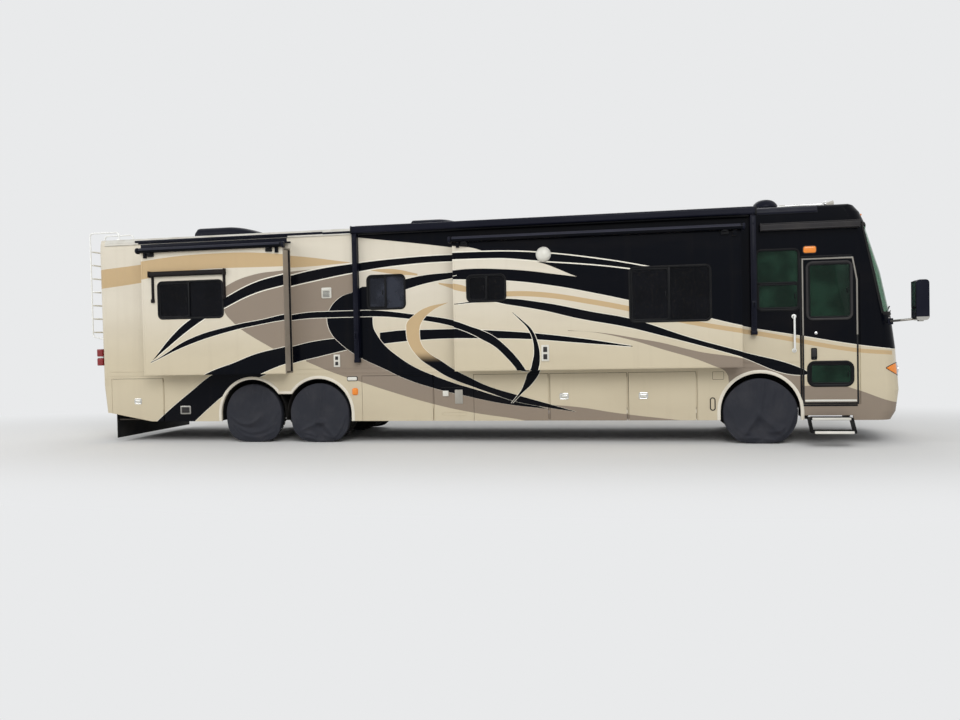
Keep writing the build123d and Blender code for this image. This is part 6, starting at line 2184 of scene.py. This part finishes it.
    def build(self) -> None:
        """Covers the six places."""
        for word, axle, wide, creases in (("front", AXLES[0], 0.542, FRONT_CREASES), ("drive", AXLES[1], 0.516, DRIVE_CREASES),
                                          ("tag", AXLES[2], 0.502, TAG_CREASES)):
            for side, tag in ((-1, "right"), (1, "left")):
                form, held = self.sheet(axle, side, wide, creases)
                cover = form.make(f"{word}_wheel_cover_{tag}", COVER_CLOTH, 80)
                self.drape(cover, held)
                self.hold(cover, axle, side)
                cover.modifiers.new("cloth_thickness", "SOLIDIFY").thickness = self.thick
                solid = cover.modifiers["cloth_thickness"]
                solid.offset = 0.0
                cover.data = bpy.data.meshes.new_from_object(
                    cover.evaluated_get(bpy.context.evaluated_depsgraph_get()))
                cover.modifiers.clear()
                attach(cover, f"{word}_{tag}_body")
                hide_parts(f"{word}_cover_{tag}")
                self.cut(wide)
                LOG.info("cover %s", cover.name)

    def cut(self, wide: float) -> float:
        """Flat area of the cloth: the face and the lip that is sewn to it, for its half width at the axle."""
        face, lip, steps = 0.0, 0.0, 180
        for k in range(steps):
            angle = 2 * math.pi * (k + 0.5) / steps
            face += 0.5 * self.reach(angle, wide) ** 2 * 2 * math.pi / steps
            depth = self.lip * (0.12 + 0.88 * min(1.0, max(0.0, (math.sin(angle) + 0.80) / 0.55)))
            lip += self.reach(angle, wide) * depth * 2 * math.pi / steps
        return round(face + lip, 3)


@dataclass
class Wheels:
    """Tyres with their tread, steel rims and wheel nuts.

    Args:
        blocks: tread blocks round a tyre.
        nuts: wheel nuts on a rim.
        twin: distance between twin tyres.
    """

    blocks: int = 44
    nuts: int = 10
    twin: float = 0.33

    def tyre(self, form: Form, axle: float, side: int, off: float) -> None:
        """Adds one carcass."""
        half = ((0.288, -0.104), (0.292, -0.122), (0.300, -0.126), (0.330, -0.134), (0.372, -0.139), (0.410, -0.138),
                (0.444, -0.131), (0.466, -0.122), (0.474, -0.118), (0.4745, -0.112))
        grooves = []
        for y in (-0.060, -0.020, 0.020, 0.060):
            grooves += [(0.478, y - 0.0065), (0.466, y - 0.0045), (0.466, y + 0.0045), (0.478, y + 0.0065)]
        outer = [*half, *grooves, *[(r, -y) for r, y in half[::-1]]]
        inner = [(0.276, 0.100), (0.276, -0.100)]
        profile = [(r, y) for r, y in outer] + inner
        loops = []
        for k in range(72):
            angle = 2 * math.pi * k / 72
            loops.append([Vector((axle + r * math.cos(angle), side * off + y, AXLE_Z + r * math.sin(angle)))
                          for r, y in profile])
        form.rows(loops, closed=True)

    def tread(self) -> Form:
        """One pitch of the tread: a block on each rib."""
        form = Form()
        for y, wide, shear in ((-0.093, 0.050, 0.10), (-0.040, 0.026, -0.20), (0.0, 0.026, 0.20), (0.040, 0.026, -0.20),
                               (0.093, 0.050, -0.10)):
            lean = Matrix.Rotation(shear, 3, "Z")
            form.block((-0.026, 0.026), (y - wide / 2, y + wide / 2), (0.472, 0.4885), 0.0025, 1, lean)
        for y in (-0.126, 0.126):
            form.block((-0.020, 0.020), (y - 0.006, y + 0.006), (0.452, 0.476), 0.003, 1)
        return form

    def rim(self, form: Form, axle: float, side: int, off: float, bore: float, deep: float) -> None:
        """Adds one steel rim.

        Args:
            form: the form it is added to.
            axle: place of the axle.
            side: -1 right, 1 left.
            off: distance of the tyre's middle off the coach's middle.
            bore: radius of its middle hole.
            deep: where its disc stands, outboard of the tyre's middle.
        """
        profile = ((0.289, -0.128), (0.292, -0.120), (0.287, -0.108), (0.272, -0.096), (0.262, -0.040), (0.262, 0.040),
                   (0.272, 0.096), (0.287, 0.108), (0.292, 0.120), (0.289, 0.128), (0.282, 0.118), (0.266, 0.098),
                   (0.254, 0.042), (0.252, deep + 0.020), (0.220, deep + 0.026), (0.176, deep + 0.012),
                   (bore + 0.035, deep + 0.010), (bore, deep + 0.010), (bore, deep - 0.002), (bore + 0.035, deep - 0.002),
                   (0.176, deep), (0.218, deep + 0.014), (0.252, deep + 0.006), (0.254, -0.042), (0.266, -0.098),
                   (0.282, -0.118))
        loops = []
        for k in range(64):
            angle = 2 * math.pi * k / 64
            loops.append([Vector((axle + r * math.cos(angle), side * (off + y), AXLE_Z + r * math.sin(angle)))
                          for r, y in profile])
        form.rows(loops, closed=True)

    def build(self) -> None:
        """Makes the wheels at the six places."""
        for word, axle, bore, twin in (("front", AXLES[0], 0.032, False), ("drive", AXLES[1], 0.0615, True),
                                       ("tag", AXLES[2], 0.0615, False)):
            for side, tag in ((-1, "right"), (1, "left")):
                body = f"{word}_{tag}_body"
                tyres, rims = Form(), Form()
                for number, off in enumerate((WHEEL_Y, WHEEL_Y - self.twin)[:2 if twin else 1]):
                    self.tyre(tyres, axle, side, off)
                    self.rim(rims, axle, side, off, bore, 0.020 if number == 0 else -0.036)
                    name = f"{word}_tread_{tag}" + ("_inner" if number else "")
                    REPEAT.lay(self.tread(), name, TYRE_RUBBER, body, self.blocks, (axle, side * off, AXLE_Z),
                               turn=(0, 2 * math.pi / self.blocks, 0))
                carcass = tyres.place(f"{word}_tyre_{tag}", TYRE_RUBBER, body, 50)
                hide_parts(f"{word}_wheel_{tag}")
                rims.place(f"{word}_rim_{tag}", RIM_STEEL, body, 40)
                nut = Form()
                nut.lathe(((0.001, 0), (0.016, 0), (0.016, 0.020), (0.012, 0.026), (0.001, 0.027)), (0.142, 0, 0),
                          (0, side, 0), 6)
                REPEAT.lay(nut, f"{word}_nuts_{tag}", SILVER, body, self.nuts,
                           (axle, side * (WHEEL_Y + 0.029), AXLE_Z), turn=(0, 2 * math.pi / self.nuts, 0))


@dataclass
class CabSeats:
    """Padded seats behind the windshield.

    Args:
        rows: the seats' middles, off the coach's middle.
        half: half a seat's width.
    """

    rows: tuple[float, ...] = (0.52, -0.33)
    half: float = 0.255

    def cushion(self, name: str, x: Span, z: Span, lean: float, swell: float, panels: int) -> bpy.types.Object:
        """One stuffed pad at the coach's middle.

        Args:
            name: its name.
            x: its ends along the coach.
            z: its lowest and highest point.
            lean: how far it leans back, in radians.
            swell: pressure of its filling.
            panels: sewn panels across it.

        Returns:
            The object, not yet on a body.
        """
        form = Form()
        bmesh.ops.create_cube(form.bm, size=1.0)
        bmesh.ops.subdivide_edges(form.bm, edges=form.bm.edges[:], cuts=25, use_grid_fill=True)
        middle = Vector(((x[0] + x[1]) / 2, 0, (z[0] + z[1]) / 2))
        size = (x[1] - x[0], 2 * self.half, z[1] - z[0])
        seams = []
        for number, vert in enumerate(form.bm.verts):
            place = vert.co.copy()
            squared = Vector([max(-0.5, min(0.5, c)) for c in place])
            tuck = 1 - 0.05 * sum(abs(c) > 0.499 for c in squared)
            across = squared.y * panels
            groove = abs(across - round(across)) < 0.02 and abs(squared.y) < 0.4
            if groove or sum(abs(c) > 0.499 for c in squared) >= 2:
                seams.append(number)
            vert.co = Vector([squared[k] * size[k] * tuck for k in range(3)])
            if groove:
                vert.co *= 0.985
        bmesh.ops.rotate(form.bm, matrix=Matrix.Rotation(lean, 3, "Y"), verts=form.bm.verts[:])
        bmesh.ops.translate(form.bm, vec=middle, verts=form.bm.verts[:])
        pad = form.make(name, SEAT_HIDE, 180)
        self.fill(pad, seams, swell)
        return pad

    def fill(self, pad: bpy.types.Object, seams: Sequence[int], swell: float) -> None:
        """Blows the pad up against its seams."""
        start = [v.co.copy() for v in pad.data.vertices]
        group = pad.vertex_groups.new(name="seams")
        group.add(list(seams), 1.0, "REPLACE")
        cloth = pad.modifiers.new("cloth", "CLOTH")
        cloth.settings.quality = 5
        cloth.settings.use_pressure = True
        cloth.settings.uniform_pressure_force = swell
        cloth.settings.effector_weights.gravity = 0
        cloth.settings.vertex_group_mass = "seams"
        scene = bpy.context.scene
        for frame in range(1, 15):
            scene.frame_set(frame)
        shaped = pad.evaluated_get(bpy.context.evaluated_depsgraph_get())
        ends = [v.co.copy() for v in shaped.data.vertices]
        pad.modifiers.clear()
        pad.vertex_groups.clear()
        scene.frame_set(1)
        for vert, first, last in zip(pad.data.vertices, start, ends):
            move = last - first
            vert.co = first + (move if move.length < 0.022 else move.normalized() * 0.022)

    def build(self) -> None:
        """Makes both seats."""
        kinds = (("cushion", (4.775, 5.285), (1.510, 1.630), 0.0, 3.0, 2), ("back", (4.700, 4.815), (1.640, 2.120), -0.06, 2.5, 2),
                 ("headrest", (4.705, 4.800), (2.135, 2.330), -0.06, 2.5, 1))
        first = {kind[0]: self.cushion(f"driver_seat_{kind[0]}", *kind[1:]) for kind in kinds}
        narrow = {"cushion": 1.0, "back": 1.0, "headrest": 0.56}
        for number, y in enumerate(self.rows):
            who = ("driver", "passenger")[number]
            for word in first:
                piece = first[word]
                if number == 0:
                    first[word] = piece.copy()
                    first[word].data = piece.data.copy()
                    bpy.context.scene.collection.objects.link(first[word])
                piece.name = f"{who}_seat_{word}"
                for vert in piece.data.vertices:
                    vert.co.y = vert.co.y * narrow[word] + y
                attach(piece, "coach")
                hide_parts("cab_seats")
                LOG.info("pad %s", piece.name)
            frame = Form()
            frame.block((4.90, 5.15), (y - 0.14, y + 0.14), (1.130, 1.170), 0.008)
            frame.lathe(((0.001, 0), (0.075, 0), (0.062, 0.06), (0.062, 0.25), (0.12, 0.30), (0.001, 0.30)), (5.02, y, 1.17),
                        (0, 0, 1), 28)
            frame.block((4.80, 5.26), (y - 0.22, y + 0.22), (1.470, 1.508), 0.012)
            frame.place(f"{who}_seat_base", STEEL, "coach")
            arms, piping = Form(), Form()
            for way in (-1, 1):
                arms.block((4.80, 5.16), (y + way * 0.262, y + way * 0.318), (1.800, 1.860), 0.022, 4)
                arms.block((4.80, 4.86), (y + way * 0.268, y + way * 0.296), (1.56, 1.82), 0.010)
                piping.tube(((4.815, y + way * 0.225, 1.66), (4.800, y + way * 0.232, 2.10)), 0.005, sides=8)
            arms.place(f"{who}_seat_arms", SEAT_HIDE, "coach")
            piping.place(f"{who}_seat_piping", DASH_SKIN, "coach")


@dataclass
class Studio:
    """Camera, floor and light.

    Args:
        eye: place of the camera.
        yaw: degrees to the left of straight across.
        pitch: degrees above level.
        roll: degrees counter-clockwise.
        focal: focal length in pixels of a picture 960 wide.
        sky: strength of the light from all round.
        fade: where the floor starts and ends to fade into the background.
    """

    eye: Point3 = (3.0265, -14.61, 1.65)
    yaw: float = 11.54
    pitch: float = -1.33
    roll: float = -1.22
    focal: float = 850.0
    sky: float = 0.62
    fade: Span = (3.2, 7.0)

    def camera(self) -> None:
        """Makes the camera and sets it."""
        data = bpy.data.cameras.new("camera")
        camera = bpy.data.objects.new("camera", data)
        bpy.context.scene.collection.objects.link(camera)
        data.sensor_width = 36.0
        data.lens = self.focal / 960 * 36.0
        data.clip_end = 400
        turn = (Matrix.Rotation(math.radians(self.yaw), 4, "Z")
                @ Matrix.Rotation(math.radians(90 + self.pitch), 4, "X")
                @ Matrix.Rotation(math.radians(self.roll), 4, "Z"))
        camera.matrix_world = Matrix.Translation(self.eye) @ turn
        bpy.context.scene.camera = camera

    def floor(self) -> None:
        """Plain pale ground."""
        mesh = bpy.data.meshes.new("ground")
        reach = 120
        mesh.from_pydata([(-reach, -reach, 0), (reach, -reach, 0), (reach, reach, 0), (-reach, reach, 0)], [],
                         [(0, 1, 2, 3)])
        ground = bpy.data.objects.new("ground", mesh)
        bpy.context.scene.collection.objects.link(ground)
        graph = Graph("ground")
        tone = graph.mix(graph.noise(0.8, 4.0) * 0.5, srgb(232, 231, 228), srgb(226, 225, 222))
        graph.set(Base_Color=tone, Roughness=0.9, Specular_IOR_Level=0.1)
        flat = graph.node("ShaderNodeMapping", inputs={"Vector": graph.place(), "Scale": (0.42, 1, 1)})
        away = graph.node("ShaderNodeVectorMath", {"operation": "LENGTH"}, {0: flat}, "Value").ramp(*self.fade)
        far = graph.node("ShaderNodeEmission", inputs={"Color": BACKDROP, "Strength": 1.0})
        mixed = graph.node("ShaderNodeMixShader", inputs={0: away * self.seen(graph), 1: Signal(graph, graph.shader.outputs[0]),
                                                          2: far})
        graph.feed(graph.output.inputs["Surface"], mixed)
        mesh.materials.append(graph.material)

    def seen(self, graph: Graph) -> Signal:
        """1 for what the camera sees straight, in a reflection or through glass."""
        rays = [graph.node("ShaderNodeLightPath", output=f"Is {kind} Ray") for kind in ("Camera", "Glossy", "Transmission")]
        return rays[0] | rays[1] | rays[2]

    def light(self) -> None:
        """Soft daylight from all round, and a broad lamp from the front right."""
        scene = bpy.context.scene
        world = bpy.data.worlds.new("studio")
        scene.world = world
        world.use_nodes = True
        graph = Graph("studio_light", world.node_tree)
        sky = graph.node("ShaderNodeBackground", inputs={"Color": srgb(238, 241, 246), "Strength": self.sky})
        back = graph.node("ShaderNodeBackground", inputs={"Color": BACKDROP, "Strength": 1.0})
        graph.feed(world.node_tree.nodes["World Output"].inputs["Surface"],
                   graph.node("ShaderNodeMixShader", inputs={0: self.seen(graph), 1: sky, 2: back}))
        for name, place, aim, size, power in (("key", (6, -20, 15), (0, 0, 1.4), 14, 2600),
                                              ("fill", (-16, -10, 9), (-3, 0, 1.5), 10, 700),
                                              ("back", (0, 18, 14), (0, 0, 1.4), 14, 1100)):
            data = bpy.data.lights.new(name, "AREA")
            data.shape = "SQUARE"
            data.size = size
            data.energy = power
            lamp = bpy.data.objects.new(name, data)
            scene.collection.objects.link(lamp)
            aimed = (Vector(aim) - Vector(place)).to_track_quat("-Z", "Y")
            lamp.matrix_world = Matrix.Translation(place) @ aimed.to_matrix().to_4x4()
        scene.view_settings.view_transform = "Standard"


def main() -> dict[str, object]:
    """Builds the scene.

    Returns:
        The table of pieces.
    """
    logging.basicConfig(level=logging.INFO, format="%(name)s: %(message)s")
    studio = Studio()
    studio.camera()
    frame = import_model()
    studio.floor()
    studio.light()
    dress_nodes(frame["nodes"])
    for window in WINDOWS:
        window.build()
    for part in (Toppers(), RoomTrim(), Awnings(), WheelWells(), SideTrim(), EntryDoor(), FrontEnd(), RearEnd(), RoofGear(),
                 Mirrors(), Underbody(), Wheels(), WheelCovers(), CabSeats()):
        part.build()
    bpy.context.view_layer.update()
    return frame


if __name__ == "__main__":
    main()
